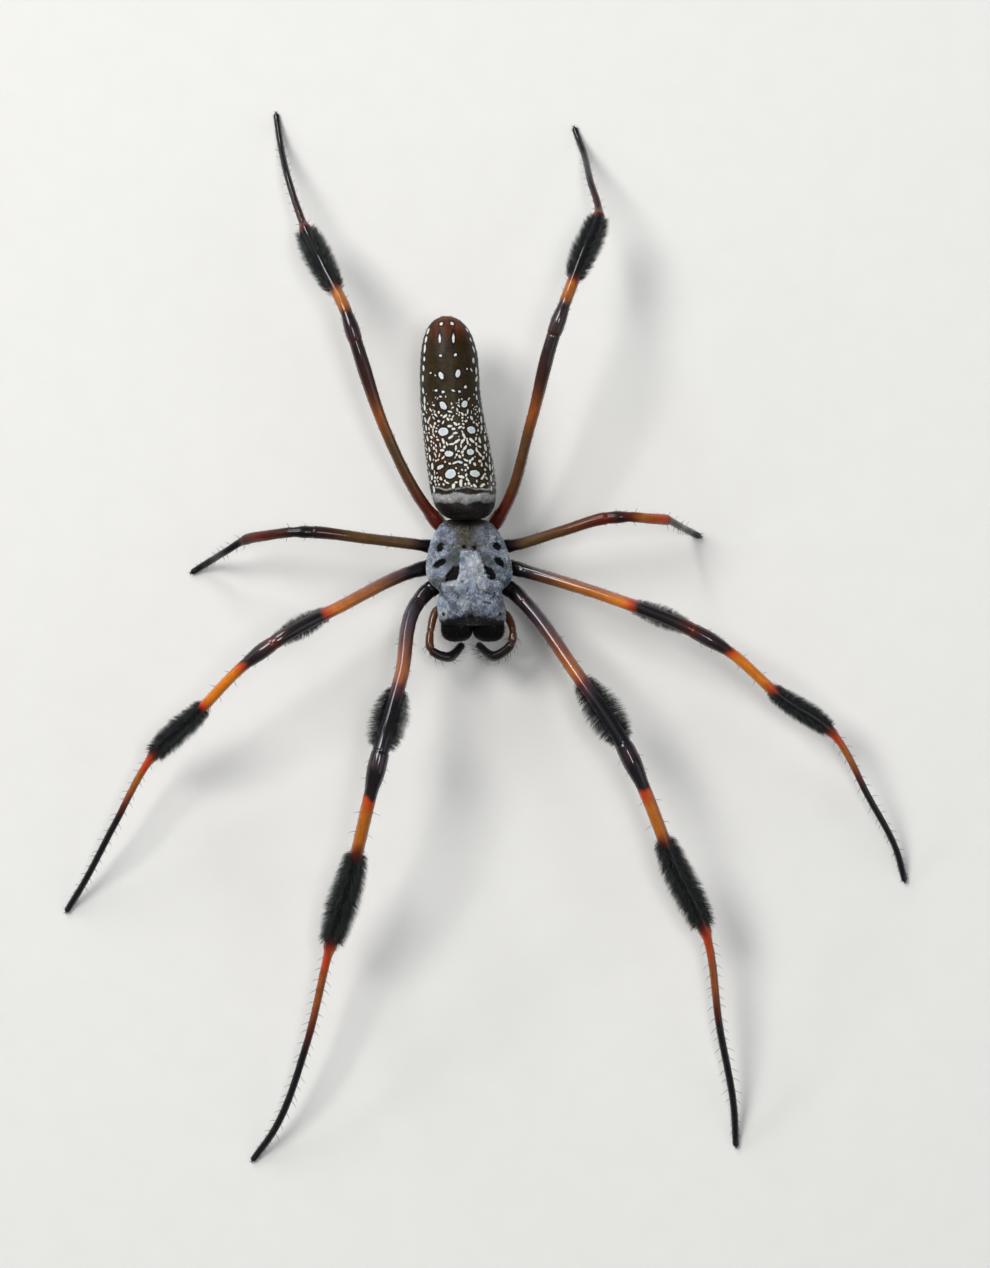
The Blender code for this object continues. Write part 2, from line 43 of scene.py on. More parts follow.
# a hair's root goes this share of its length into the skin, its radius narrows as (1 - t)^taper, and it takes a patch
# this wide in the map that is baked
hairForm = {"sink": 0.12, "taper": 0.55, "patch": 0.003}

# linear colours shared by skin and hair
palette = {
    "black": (0.0055, 0.005, 0.0075),
    "blackBrown": (0.014, 0.008, 0.009),
    "purpleBrown": (0.034, 0.015, 0.022),
    "darkRed": (0.045, 0.014, 0.009),
    "ash": (0.060, 0.062, 0.050),
    "redBrown": (0.10, 0.012, 0.006),
    "brown": (0.105, 0.034, 0.010),
    "olive": (0.098, 0.050, 0.016),
    "rust": (0.27, 0.070, 0.012),
    "umber": (0.36, 0.115, 0.014),
    "amber": (0.44, 0.128, 0.012),
    "orange": (0.68, 0.190, 0.008),
    "redOrange": (0.50, 0.050, 0.008),
    # painted sheen colour for the tops of the femora
    "sheenLilac": (0.13, 0.125, 0.175),
}


# the shape helpers work on whole numpy arrays, in millimetres

def smoothPath(points, steps=40):
    # cubic through every point; the slope at a point is its two chords' slopes, weighted by the other chord's length
    points = np.asarray(points, float)
    chord = np.diff(points, axis=0)
    length = np.linalg.norm(chord, axis=1)
    slope = chord / length[:, None]
    tangent = np.empty_like(points)
    tangent[0], tangent[-1] = slope[0], slope[-1]
    before, after = length[:-1, None], length[1:, None]
    tangent[1:-1] = (slope[:-1] * after + slope[1:] * before) / (before + after)
    t = np.linspace(0, 1, steps, endpoint=False)[None, :, None]
    a, b = points[:-1, None], points[1:, None]
    ta, tb = (tangent[:-1] * length[:, None])[:, None], (tangent[1:] * length[:, None])[:, None]
    curve = (2*t**3 - 3*t**2 + 1)*a + (t**3 - 2*t**2 + t)*ta + (3*t**2 - 2*t**3)*b + (t**3 - t**2)*tb
    curve = np.vstack([curve.reshape(-1, points.shape[1]), points[-1:]])
    along = np.concatenate([[0], np.cumsum(np.linalg.norm(np.diff(curve, axis=0), axis=1))])
    return {"curve": curve, "along": along, "knots": along[::steps]}


def ramp(at, places, rows):
    # each column of the rows read at the given places, by straight lines between them
    return np.stack([np.interp(at, places, column) for column in np.asarray(rows).T], -1)


def pathPoint(path, s):
    # every column of the curve at the lengths s along it
    return ramp(s, path["along"], path["curve"])


def pathFrame(path, s, reach=0.25):
    # centre, direction ahead, side and top: side is ahead x up, top is side x ahead
    end = path["along"][-1]
    ahead = unit(pathPoint(path, np.minimum(s + reach, end)) - pathPoint(path, np.maximum(s - reach, 0)))
    side = unit(np.cross(ahead, (0.0, 0.0, 1.0)))
    return pathPoint(path, s), ahead, side, np.cross(side, ahead)


def turns(sides):
    # equal turns round a ring, from 0
    return np.arange(sides) * fullTurn / sides


def ringsAlong(path, s, radius, sides, flat=1.0):
    # rings across a path: centre + radius (cos a side flat + sin a top)
    angle = turns(sides)[None, :, None]
    centre, _, side, top = pathFrame(path, s)
    around = np.cos(angle) * side[:, None] * flat + np.sin(angle) * top[:, None]
    return centre[:, None] + radius[:, None, None] * around


def skinPlace(path, s, angle, radius):
    # root, direction out and direction ahead of hairs on a round path: out is cos a side + sin a top
    centre, ahead, side, top = pathFrame(path, s)
    out = side * np.cos(angle)[:, None] + top * np.sin(angle)[:, None]
    return centre + out * radius[:, None], out, ahead


def roundedEnd(s, end, reach, most):
    # share of the radius left near a rounded end: sqrt(1 - q^2), q from 0 to most over the last reach
    return np.sqrt(np.clip(1 - np.clip((s - end + reach) / reach, 0, most) ** 2, 0, 1))


def unit(v):
    # vectors over their own lengths
    return v / np.maximum(np.linalg.norm(v, axis=-1, keepdims=True), 1e-12)


def dot(a, b):
    # row by row product of two lists of vectors
    return np.einsum("ij,ij->i", a, b)


def bell(x, centre, width):
    # exp(-((x - centre) / width)^2)
    return np.exp(-((x - centre) / width) ** 2)


def smoothStep(x, low, high):
    # 0 up to low, 1 from high, and t^2 (3 - 2 t) between them
    t = np.clip((x - low) / (high - low), 0, 1)
    return t * t * (3 - 2 * t)


def buildMesh(name, points, quads, tris, values=None, uvs=None):
    # one mesh from arrays: quads (n, 4) and tris (m, 3) index points; values and uvs are dictionaries with an entry per
    # point: red, green and blue or one number in values, (u, v) in uvs
    corners = np.concatenate([quads.reshape(-1), tris.reshape(-1)]).astype(np.int32)
    starts = np.concatenate([np.arange(len(quads)) * 4, len(quads) * 4 + np.arange(len(tris)) * 3]).astype(np.int32)
    mesh = bpy.data.meshes.new(name)
    mesh.vertices.add(len(points))
    mesh.vertices.foreach_set("co", (points * mm).astype(np.float32).ravel())
    mesh.loops.add(len(corners))
    mesh.loops.foreach_set("vertex_index", corners)
    mesh.polygons.add(len(starts))
    mesh.polygons.foreach_set("loop_start", starts)
    mesh.update(calc_edges=True)
    mesh.validate()
    mesh.shade_smooth()
    for key, entries in (values or {}).items():
        isColour = entries.ndim == 2
        full = np.concatenate([entries, np.ones((len(entries), 1))], axis=1) if isColour else entries
        layer = mesh.attributes.new(key, "FLOAT_COLOR" if isColour else "FLOAT", "POINT")
        layer.data.foreach_set("color" if isColour else "value", full.astype(np.float32).ravel())
    order = np.zeros(len(mesh.loops), np.int32)
    mesh.loops.foreach_get("vertex_index", order)
    for key, entries in (uvs or {}).items():
        layer = mesh.uv_layers.new(name=key)
        layer.data.foreach_set("uv", entries[order].astype(np.float32).ravel())
    piece = bpy.data.objects.new(name, mesh)
    bpy.context.scene.collection.objects.link(piece)
    return piece


def gridFaces(rows, sides):
    # quads of a tube of rows x sides points, and triangles to a pole at each end (the last two points)
    row = np.arange(rows - 1)[:, None] * sides
    side = np.arange(sides)
    nextSide = (side + 1) % sides
    quads = np.stack([row + side, row + nextSide, row + sides + nextSide, row + sides + side], -1).reshape(-1, 4)
    first, top = rows * sides, (rows - 1) * sides
    tris = np.concatenate([np.stack([nextSide, side, np.full(sides, first)], -1),
                           np.stack([top + side, top + nextSide, np.full(sides, first + 1)], -1)])
    return quads, tris


def faceOutward(points, quads, tris):
    # the faces, all reversed if the volume inside the quads comes out negative
    a, b, c, d = (points[quads[:, k]] for k in range(4))
    volume = (dot(a, np.cross(b, c)) + dot(a, np.cross(c, d))).sum()
    return (quads[:, ::-1], tris[:, ::-1]) if volume < 0 else (quads, tris)


def tubePiece(name, rings, values, unwrap):
    # closed skin through rings (rows, sides, 3), turned outward; each end closes on the middle of its ring
    rows, sides = rings.shape[:2]
    points = np.vstack([rings.reshape(-1, 3), rings[0].mean(0)[None], rings[-1].mean(0)[None]])
    quads, tris = faceOutward(points, *gridFaces(rows, sides))

    def withPoles(entries):
        flat = entries.reshape(rows * sides, -1)
        both = np.vstack([flat, flat[:1], flat[-1:]])
        return both if both.shape[1] > 1 else both[:, 0]

    values = {key: withPoles(entries) for key, entries in values.items()}
    return buildMesh(name, points, quads, tris, values, {"skinMap": withPoles(unwrap)})


def tubeUv(s, sides):
    # turn round the tube and length along it, each as a share
    return np.stack(np.meshgrid(np.arange(sides) / sides, s / s[-1]), -1)


def plainTint(colour, rings):
    # one colour at every point of the rings
    return np.broadcast_to(np.array(colour), rings.shape)


def bulge(value, power):
    # sign(v) |v|^power: below 1 it squares a round section
    return np.sign(value) * np.abs(value) ** power


def hairPiece(name, roots, out, lie, length, radius, rise, bend, colour, tipColour, unwrap, rings=3, flat=0.6):
    # each hair is a closed three-sided horn: it leaves at the angle rise above the skin, bends down to rise - bend,
    # and narrows to a point; centre line root + L (t d0 + t^2/2 (d1 - d0))
    count = len(roots)
    out, lie = unit(out), unit(lie)
    lie = unit(lie - out * dot(lie, out)[:, None])
    across = np.cross(out, lie)
    rise, bend = np.broadcast_to(rise, count)[:, None], np.broadcast_to(bend, count)[:, None]
    first = out * np.sin(rise) + lie * np.cos(rise)
    last = out * np.sin(rise - bend) + lie * np.cos(rise - bend)
    t = (np.arange(rings) / rings)[None, :, None]
    length = np.broadcast_to(length, count)[:, None, None]
    centre = roots[:, None] + length * (t * first[:, None] + t * t / 2 * (last - first)[:, None])
    centre = centre - out[:, None] * (hairForm["sink"] * length * (t == 0))
    flow = unit(first[:, None] + t * (last - first)[:, None])
    wide = across[:, None] * np.ones_like(t)
    thick = np.cross(flow, wide)
    girth = np.broadcast_to(radius, count)[:, None, None] * (1 - t) ** hairForm["taper"]
    angle = turns(3)[:, None] + math.pi / 2
    ring = centre[:, :, None] + girth[:, :, None] * (np.cos(angle) * wide[:, :, None]
                                                    + flat * np.sin(angle) * thick[:, :, None])
    tip = roots + length[:, 0] * (first + (last - first) / 2)
    points = np.concatenate([ring.reshape(count, rings * 3, 3), tip[:, None]], axis=1)
    each = rings * 3 + 1
    start = np.arange(count)[:, None, None] * each
    corner = [(k, (k + 1) % 3) for k in range(3)]
    quadRows = [[r*3 + k, r*3 + n, r*3 + 3 + n, r*3 + 3 + k] for r in range(rings - 1) for k, n in corner]
    triRows = [[2, 1, 0]] + [[rings*3 - 3 + k, rings*3 - 3 + n, rings*3] for k, n in corner]
    quads = (start + np.array(quadRows)[None]).reshape(-1, 4)
    tris = (start + np.array(triRows)[None]).reshape(-1, 3)
    rowShare = np.append(np.repeat(np.arange(rings) / rings, 3), 1.0)[None, :]
    share = rowShare[..., None]
    tint = np.asarray(colour).reshape(-1, 1, 3) * (1 - share) + np.asarray(tipColour).reshape(-1, 1, 3) * share
    tint = np.broadcast_to(tint, (count, each, 3)).reshape(-1, 3)
    spot = np.append(np.tile([0.0, 0.5, 1.0], rings), 0.5)[None, :] * hairForm["patch"]
    uv = np.stack([unwrap[:, :1] + spot, unwrap[:, 1:] + rowShare * hairForm["patch"]], -1).reshape(-1, 2) % 1.0
    return buildMesh(name, points.reshape(-1, 3), quads, tris, {"tint": tint}, {"OFBake": uv})


def furPiece(name, fur, roots, out, lie, colour, tipColour, unwrap):
    # short hairs whose lengths and rises are drawn from the ranges in the fur's dictionary
    count = len(roots)
    length, rise = chance.uniform(*fur["lengths"], count), np.radians(chance.normal(*fur["rise"], count))
    return hairPiece(name, roots, out, lie, length, fur["radius"], rise, np.radians(fur["bend"]), colour, tipColour,
                     unwrap, rings=2)


def finishPiece(piece, material, nodes=()):
    # gives a piece its material and slot, the ride on the part's root, and the solids that it stands for
    piece.data.materials.append(material)
    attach(piece, "root")
    if nodes:
        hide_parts(*nodes)


def scatterOn(rings, count, weight=None):
    # roots spread evenly over a grid's area (times weight): a cell is drawn by its share, then a place inside it
    rows, sides = rings.shape[:2]
    wrapped = np.concatenate([rings, rings[:, :1]], axis=1)
    a, b, c, d = wrapped[:-1, :-1], wrapped[:-1, 1:], wrapped[1:, 1:], wrapped[1:, :-1]
    normal = np.cross(c - a, d - b)
    area = np.linalg.norm(normal, axis=-1)
    share = area if weight is None else area * weight((a + b + c + d) / 4)
    cell = chance.choice(share.size, count, p=share.ravel() / share.sum())
    row, side = np.divmod(cell, sides)
    u, v = chance.random((2, count, 1))
    spot = (a[row, side] * (1-u) + b[row, side] * u) * (1-v) + (d[row, side] * (1-u) + c[row, side] * u) * v
    out = unit(normal[row, side])
    out = np.where(dot(out, spot - rings[row].mean(1))[:, None] < 0, -out, out)
    return spot, out, np.stack([(side + u[:, 0]) / sides, (row + v[:, 0]) / rows], -1)


def toSegment(x, y, a, b):
    # distance in plan from (x, y) to the straight piece a-b
    run = np.subtract(b, a)
    t = np.clip(((x - a[0]) * run[0] + (y - a[1]) * run[1]) / (run @ run), 0, 1)
    return np.hypot(x - a[0] - t * run[0], y - a[1] - t * run[1])


def toLine(x, y, corners):
    # least distance in plan to any piece of a broken line
    return np.min([toSegment(x, y, a, b) for a, b in zip(corners[:-1], corners[1:])], axis=0)


def turnedPlace(x, y, cx, cy, turn):
    # (x, y) measured from (cx, cy) along axes turned by so many degrees
    c, s = math.cos(math.radians(turn)), math.sin(math.radians(turn))
    return (x - cx) * c + (y - cy) * s, (y - cy) * c - (x - cx) * s


def toPolygon(x, y, corners):
    # signed distance to a polygon: nearest edge, negative where a ray to the right crosses an odd number of edges
    closed = list(corners) + [corners[0]]
    inside = np.zeros(np.shape(x), bool)
    for (ax, ay), (bx, by) in zip(closed[:-1], closed[1:]):
        if ay != by:
            inside ^= ((ay > y) != (by > y)) & (x < ax + (y - ay) * (bx - ax) / (by - ay))
    away = toLine(x, y, closed)
    return np.where(inside, -away, away)


def toOval(x, y, spot):
    # distance to an oval's edge, negative inside: (|(u / long, v / wide)| - 1) wide, on its own turned axes
    cx, cy, long, wide, turn = spot
    u, v = turnedPlace(x, y, cx, cy, turn)
    return (np.hypot(u / long, v / wide) - 1) * wide


def blend(base, colour, share):
    # base (1 - share) + colour share
    return base * (1 - share[..., None]) + np.asarray(colour) * share[..., None]


def wave(points, scale, seed=0.0):
    # soft three-dimensional ripple between -1 and 1: sines of skew mixes of the coordinates
    x, y, z = (points[..., k] * scale + seed for k in range(3))
    return (np.sin(1.7*x + 0.9*y + 0.4*z) + np.sin(1.3*y - 1.1*x + 2.0 + 0.7*z) + np.sin(1.9*z + 0.8*y - 0.6*x)
            + np.sin(2.9*x - 2.3*y + 1.7*z + 1.0)) / 4


def newMaterial(name):
    # an empty material with its node tree and its surface shader
    material = bpy.data.materials.new(name)
    material.use_nodes = True
    tree = material.node_tree
    return material, tree, tree.nodes["Principled BSDF"]


def plug(tree, node, inputs):
    # fills a node's inputs: a socket is linked, anything else is set as the value
    for key, value in inputs.items():
        if hasattr(value, "is_output"):
            tree.links.new(value, node.inputs[key])
        else:
            node.inputs[key].default_value = value


def addNode(tree, kind, inputs=None, **settings):
    # a new node with its settings and inputs
    node = tree.nodes.new(kind)
    for key, value in settings.items():
        setattr(node, key, value)
    plug(tree, node, inputs or {})
    return node


def mixColour(tree, factor, a, b, blend="MIX"):
    # two colours mixed by the factor; a colour is a socket or red, green and blue
    node = addNode(tree, "ShaderNodeMix", data_type="RGBA", blend_type=blend)
    a, b = ((*colour, 1.0) if isinstance(colour, tuple) else colour for colour in (a, b))
    plug(tree, node, {0: factor, 6: a, 7: b})
    return node.outputs[2]


def shadeColour(tree, colour, value):
    # colour times a grey value
    grey = addNode(tree, "ShaderNodeCombineColor", {0: value, 1: value, 2: value}).outputs[0]
    return mixColour(tree, 1.0, colour, grey, "MULTIPLY")


def attribute(tree, name, output="Fac"):
    # what each point of the mesh carries under this name
    return addNode(tree, "ShaderNodeAttribute", attribute_name=name).outputs[output]


def mapRange(tree, value, fromLow, fromHigh, toLow=0.0, toHigh=1.0):
    # value moved from one range into another, and kept inside that one
    return addNode(tree, "ShaderNodeMapRange", {0: value, 1: fromLow, 2: fromHigh, 3: toLow, 4: toHigh}).outputs[0]


def vary(tree, value, low, high):
    # noise, which mostly lies between 0.3 and 0.7, spread over low to high
    return mapRange(tree, value, 0.3, 0.7, low, high)


def maths(tree, operation, a, b):
    # one sum of two values
    return addNode(tree, "ShaderNodeMath", {0: a, 1: b}, operation=operation).outputs[0]


def noise(tree, where, scale, detail=3.0, rough=0.5):
    # cloudy noise around 0.5
    settings = {"Vector": where, "Scale": scale, "Detail": detail, "Roughness": rough}
    return addNode(tree, "ShaderNodeTexNoise", settings).outputs["Fac"]


def objectPlace(tree):
    # the place on the piece in its own axes
    return addNode(tree, "ShaderNodeTexCoord").outputs["Object"]


def uvPlace(tree, name, stretch):
    # the place in a flat map of the piece, stretched
    uv = addNode(tree, "ShaderNodeUVMap", uv_map=name)
    return addNode(tree, "ShaderNodeMapping", {"Vector": uv.outputs[0], "Scale": stretch}).outputs[0]


def bumpFrom(tree, height, strength, depth):
    # the surface's direction over small bumps of this height
    return addNode(tree, "ShaderNodeBump", {"Strength": strength, "Distance": depth, "Height": height}).outputs[0]


def cuticleMaterial(name, settings):
    # chitin: the tint attribute, mottled, under a clear wax coat, with pits and fine lengthwise grain in the bump
    material, tree, shader = newMaterial(name)
    place = objectPlace(tree)
    grain = uvPlace(tree, "skinMap", (settings["grainAround"], settings["grainAlong"], 1.0))
    mottle = noise(tree, place, settings["mottleScale"], 4.0, 0.6)
    streak = noise(tree, grain, 1.0, 3.0, 0.55)
    value = maths(tree, "ADD", vary(tree, mottle, -settings["mottle"], settings["mottle"]),
                  vary(tree, streak, 1 - settings["streak"], 1 + settings["streak"]))
    rough = mapRange(tree, streak, 0.25, 0.75, settings["roughness"] - 0.07, settings["roughness"] + 0.09)
    dullness = maths(tree, "MULTIPLY", attribute(tree, "dull"), 0.5)
    pits = addNode(tree, "ShaderNodeTexVoronoi", {"Vector": place, "Scale": settings["pitScale"]}).outputs["Distance"]
    height = maths(tree, "ADD", maths(tree, "MULTIPLY", streak, 0.6),
                   maths(tree, "MULTIPLY", mapRange(tree, pits, 0.0, 0.22), 0.5))
    plug(tree, shader, {"Base Color": shadeColour(tree, attribute(tree, "tint", "Color"), value),
                        "Roughness": maths(tree, "ADD", rough, dullness), "Coat Weight": settings["coat"],
                        "Coat Roughness": 0.07, "Specular IOR Level": settings["gloss"],
                        "Normal": bumpFrom(tree, height, settings["bump"], 0.00003)})
    return material


def hairMaterial(name, roughness, sheen=0.0):
    # hair: its own tint, a little lighter and darker from hair to hair, with a soft gloss
    material, tree, shader = newMaterial(name)
    cloud = noise(tree, objectPlace(tree), 2600.0, 2.0)
    colour = shadeColour(tree, attribute(tree, "tint", "Color"), vary(tree, cloud, 0.65, 1.35))
    plug(tree, shader, {"Base Color": colour, "Roughness": vary(tree, cloud, roughness - 0.08, roughness + 0.12),
                        "Specular IOR Level": 0.28, "Sheen Weight": sheen})
    return material


# the spider's own sizes, in millimetres; the abdomen points to +Y and the leg tips stand on z = 0
# where the body's middle line lies and how it leans and bends
body = {"headX": -1.42, "headLean": 0.06, "waistY": 12.0, "abdomenLean": 0.095,
        "bend": 0.40, "bendY": 23.3, "bendSpan": 5.0}


def headAxis(y):
    # the middle line of head and thorax: x falls by the lean for every millimetre back
    return body["headX"] - body["headLean"] * (y - 1.0)


def abdomenAxis(y):
    # the abdomen's middle line: a straight lean from the waist, less a bell-shaped bend
    lean = headAxis(body["waistY"]) - body["abdomenLean"] * (y - body["waistY"])
    return lean - body["bend"] * bell(y, body["bendY"], body["bendSpan"])


legs = {
    # places along each leg that are the same on both sides: hip, end of coxa, start of femur (out, y, height)
    "hips": {1: ((2.15, 5.55, 5.7), (4.20, 4.70, 6.2), (5.20, 3.65, 6.8)),
             2: ((2.30, 7.20, 5.7), (4.45, 6.95, 6.2), (5.50, 6.65, 6.8)),
             3: ((2.15, 8.90, 5.7), (3.70, 9.10, 6.2), (4.40, 9.20, 6.7)),
             4: ((1.75, 10.40, 5.7), (2.70, 11.35, 6.2), (3.55, 12.45, 6.8))},
    # knee, end of patella, end of tibia, end of metatarsus, tip
    "joints": {
        "1_left": ((13.5, -10.5, 11.2), (15.3, -14.3, 11.2), (21.8, -29.5, 7.2), (24.7, -47.4, 1.5),
                   (24.9, -50.9, 0.24)),
        "1_right": ((-10.5, -11.2, 14.0), (-11.4, -15.0, 13.8), (-15.7, -31.1, 7.4), (-21.6, -49.7, 1.5),
                    (-23.5, -52.3, 0.24)),
        "2_left": ((20.3, 0.8, 10.4), (23.8, -1.2, 10.4), (34.5, -9.6, 6.2), (41.1, -21.8, 1.3), (41.8, -24.4, 0.24)),
        "2_right": ((-21.1, -0.5, 13.6), (-23.8, -2.5, 13.0), (-33.5, -12.1, 6.6), (-40.7, -25.2, 1.3),
                    (-42.1, -27.4, 0.24)),
        "3_left": ((12.0, 11.9, 10.4), (14.2, 12.0, 10.5), (18.0, 11.7, 7.4), (19.9, 10.8, 2.2), (21.4, 10.1, 0.24)),
        "3_right": ((-17.3, 10.5, 9.6), (-19.2, 10.5, 9.6), (-24.2, 9.7, 5.8), (-27.6, 7.7, 1.6), (-29.6, 6.5, 0.24)),
        "4_left": ((6.6, 30.0, 12.8), (7.7, 33.1, 12.8), (11.1, 42.2, 8.2), (9.6, 48.6, 1.7), (8.7, 51.1, 0.24)),
        "4_right": ((-13.0, 29.4, 12.6), (-13.9, 32.2, 12.5), (-18.2, 41.0, 6.6), (-20.7, 49.8, 1.4),
                    (-21.1, 52.5, 0.24)),
    },
    # sideways bow of femur, tibia and metatarsus, to the left of the way out
    "bows": {"1_left": (0.22, -0.22, -0.13), "1_right": (0.14, 0.20, 0.67), "2_left": (0.34, -0.34, 0.13),
             "2_right": (-0.20, 0.06, -0.03), "3_left": (0.0, 0.0, 0.0), "3_right": (0.0, -0.10, 0.0),
             "4_left": (-0.30, 0.0, 0.04), "4_right": (0.80, 0.06, 0.24)},
    "arches": (0.9, 0.5, 0.7), "toe": 0.5, "toeHeight": 0.27,
    # radii as shares along a segment
    "segments": {"coxa": ((0, 0.62), (0.5, 0.90), (1, 0.79)),
                 "femur": ((0, 0.76), (0.45, 0.70), (0.8, 0.75), (1, 0.84)),
                 "patella": ((0, 0.92), (0.20, 0.97), (0.50, 0.99), (0.80, 0.84), (1, 0.72)),
                 "tibia": ((0, 0.69), (0.25, 0.66), (0.8, 0.70), (1, 0.69)),
                 "metatarsus": ((0, 0.51), (0.05, 0.44), (0.3, 0.40), (1, 0.38)),
                 "tarsus": ((0, 0.38), (0.5, 0.37), (1, 0.33))},
    # how thick each pair's segments are beside these; the last pair's femur swells towards its end
    "build": {1: (1.0, 1.03, 1.0, 1.0, 0.96, 0.96), 2: (0.94, 0.90, 0.82, 0.82, 0.86, 0.92),
              3: (0.84, 0.78, 0.64, 0.78, 0.88, 0.92), 4: (0.92, 0.86, 0.80, 0.92, 0.87, 0.90)},
    "lastFemur": ((0, 0.72), (0.35, 0.63), (0.6, 0.68), (0.85, 0.84), (1, 0.80)),
    # depth of the groove at the end of femur start, femur, patella, tibia and metatarsus
    "grooves": (0.05, 0.07, 0.02, 0.05, 0.03), "grooveWidth": 0.10,
    # depth and width of the groove behind the coxa; over how much the radii are evened out; how a tip is rounded
    "hipGroove": (0.05, 0.16), "evenOver": 0.35, "tipRound": (0.3, 0.985),
    # mm between rings, points round one, its width beside its height, how far the root sinks into the body
    "rowStep": 0.11, "sides": 32, "flat": 0.97, "rootSink": 0.7,
}

# colour stops along each pair's legs, and the left leg of the third pair: share of the segment, palette name
legColours = {
    "1": {
        "coxa": ((0, "blackBrown"), (0.8, "black")),
        "femur": ((0, "purpleBrown"), (0.05, "blackBrown"), (0.17, "purpleBrown"), (0.3, "brown"), (0.42, "rust"),
                  (0.5, "umber"), (0.56, "rust"), (0.6, "redBrown"), (0.66, "purpleBrown"), (0.72, "black"),
                  (1, "black")),
        "patella": ((0.3, "purpleBrown"), (0.6, "black"), (1, "blackBrown")),
        "tibia": ((0.035, "blackBrown"), (0.06, "redOrange"), (0.14, "amber"), (0.3, "amber"), (0.37, "redBrown"),
                  (0.42, "black"), (0.88, "black"), (0.94, "redBrown"), (1, "redOrange")),
        "metatarsus": ((0.06, "redOrange"), (0.16, "rust"), (0.27, "rust"), (0.4, "redBrown"), (0.52, "black")),
        "tarsus": ((0, "black"), (1, "black")),
    },
    "2": {
        "coxa": ((0, "blackBrown"), (1, "black")),
        "femur": ((0.06, "blackBrown"), (0.16, "brown"), (0.32, "umber"), (0.46, "amber"), (0.58, "orange"),
                  (0.64, "redOrange"), (0.69, "black"), (0.9, "blackBrown"), (0.97, "darkRed")),
        "patella": ((0.02, "redBrown"), (0.1, "darkRed"), (0.3, "purpleBrown"), (0.85, "blackBrown"),
                    (0.99, "darkRed")),
        "tibia": ((0.03, "redOrange"), (0.1, "orange"), (0.34, "orange"), (0.42, "redOrange"), (0.47, "black"),
                  (0.9, "black"), (0.95, "redBrown"), (1, "redOrange")),
        "metatarsus": ((0.05, "redOrange"), (0.14, "umber"), (0.24, "rust"), (0.34, "redBrown"), (0.44, "black")),
        "tarsus": ((0, "black"), (1, "black")),
    },
    "3": {
        "coxa": ((0, "blackBrown"), (1, "black")),
        "femur": ((0.06, "blackBrown"), (0.17, "olive"), (0.35, "olive"), (0.62, "olive"), (0.82, "darkRed"),
                  (1, "blackBrown")),
        "patella": ((0.5, "black"), (1, "blackBrown")),
        "tibia": ((0.2, "darkRed"), (0.6, "redBrown"), (1, "darkRed")),
        "metatarsus": ((0.04, "blackBrown"), (0.2, "black")),
        "tarsus": ((1, "black"),),
    },
    "3_left": {
        "coxa": ((0, "blackBrown"), (1, "black")),
        "femur": ((0.06, "blackBrown"), (0.17, "olive"), (0.35, "olive"), (0.7, "brown"), (0.9, "redBrown")),
        "patella": ((0, "redBrown"), (0.5, "blackBrown"), (1, "redBrown")),
        "tibia": ((0.25, "umber"), (0.75, "redOrange"), (1, "redBrown")),
        "metatarsus": ((0.06, "ash"), (1, "ash")),
        "tarsus": ((1, "ash"),),
    },
    "4": {
        "coxa": ((0, "blackBrown"), (0.6, "redBrown")),
        "femur": ((0.04, "redBrown"), (0.16, "brown"), (0.42, "olive"), (0.6, "rust"), (0.69, "brown"),
                  (0.77, "darkRed"), (0.98, "blackBrown")),
        "patella": ((0, "darkRed"), (0.3, "purpleBrown"), (0.96, "blackBrown")),
        "tibia": ((0.03, "rust"), (0.08, "umber"), (0.17, "amber"), (0.24, "redBrown"), (0.3, "black"),
                  (0.92, "black"), (0.98, "redBrown")),
        "metatarsus": ((0.05, "darkRed"), (0.25, "purpleBrown"), (0.5, "black")),
        "tarsus": ((0, "black"), (1, "black")),
    },
}
# painted shade on the flanks per colour channel, painted sheen on the femur of each pair, dullness beyond the tibia
legShade = {"flank": (0.40, 0.68, 0.72), "paintedSheen": {1: 0.38, 2: 0.38, 3: 0.22, 4: 0.22}, "dull": 0.4}
# hair brushes: segment, start, end, reach of the hair tips from the leg's axis, how far up each side in degrees
legTufts = {
    "1_left": (("femur", 0.585, 0.995, 2.35, 118), ("tibia", 0.365, 0.955, 1.95, 158)),
    "1_right": (("femur", 0.615, 0.995, 2.40, 118), ("tibia", 0.385, 0.96, 2.00, 158)),
    "2_left": (("femur", 0.66, 0.97, 1.38, 92), ("tibia", 0.43, 0.965, 1.42, 150)),
    "2_right": (("femur", 0.64, 0.97, 1.45, 92), ("tibia", 0.43, 0.965, 1.60, 150)),
    "4_left": (("tibia", 0.27, 0.96, 1.72, 138),),
    "4_right": (("tibia", 0.25, 0.96, 1.78, 138),),
}
# a brush: clumps every so many mm, hairs in each, lean from the skin, radius of the skin; spread and gathering to one
# tip are given for the loose underhairs first, then for the clumps
brush = {"clumpGap": 0.27, "clumpHairs": 7, "lean": {"femur": 72, "tibia": 58}, "bend": 24, "skin": 0.72,
         "underHairs": 1.1, "spread": (0.26, 0.125), "gather": (0.2, 0.42), "shortest": 0.35,
         "coarse": 0.026, "fine": 0.017, "coarseShare": 0.30, "root": (0.009, 0.011, 0.011),
         # coarse and fine tip colours, the share of tips with a painted glint and the glint's colour, the red of a
         # tibia brush's ends
         "coarseTip": (0.016, 0.021, 0.020), "fineTip": (0.045, 0.058, 0.052), "glintShare": 0.08,
         "glintTip": (0.13, 0.17, 0.15), "redRoot": (0.045, 0.010, 0.008), "redTip": (0.10, 0.022, 0.014)}


def bowed(start, end, bow, arch):
    # middle of a chord, moved sideways by bow and up by arch
    start, end = np.asarray(start), np.asarray(end)
    run = end - start
    left = np.array([-run[1], run[0], 0.0]) / math.hypot(run[0], run[1])
    return (start + end) / 2 + bow * left + (0.0, 0.0, arch)


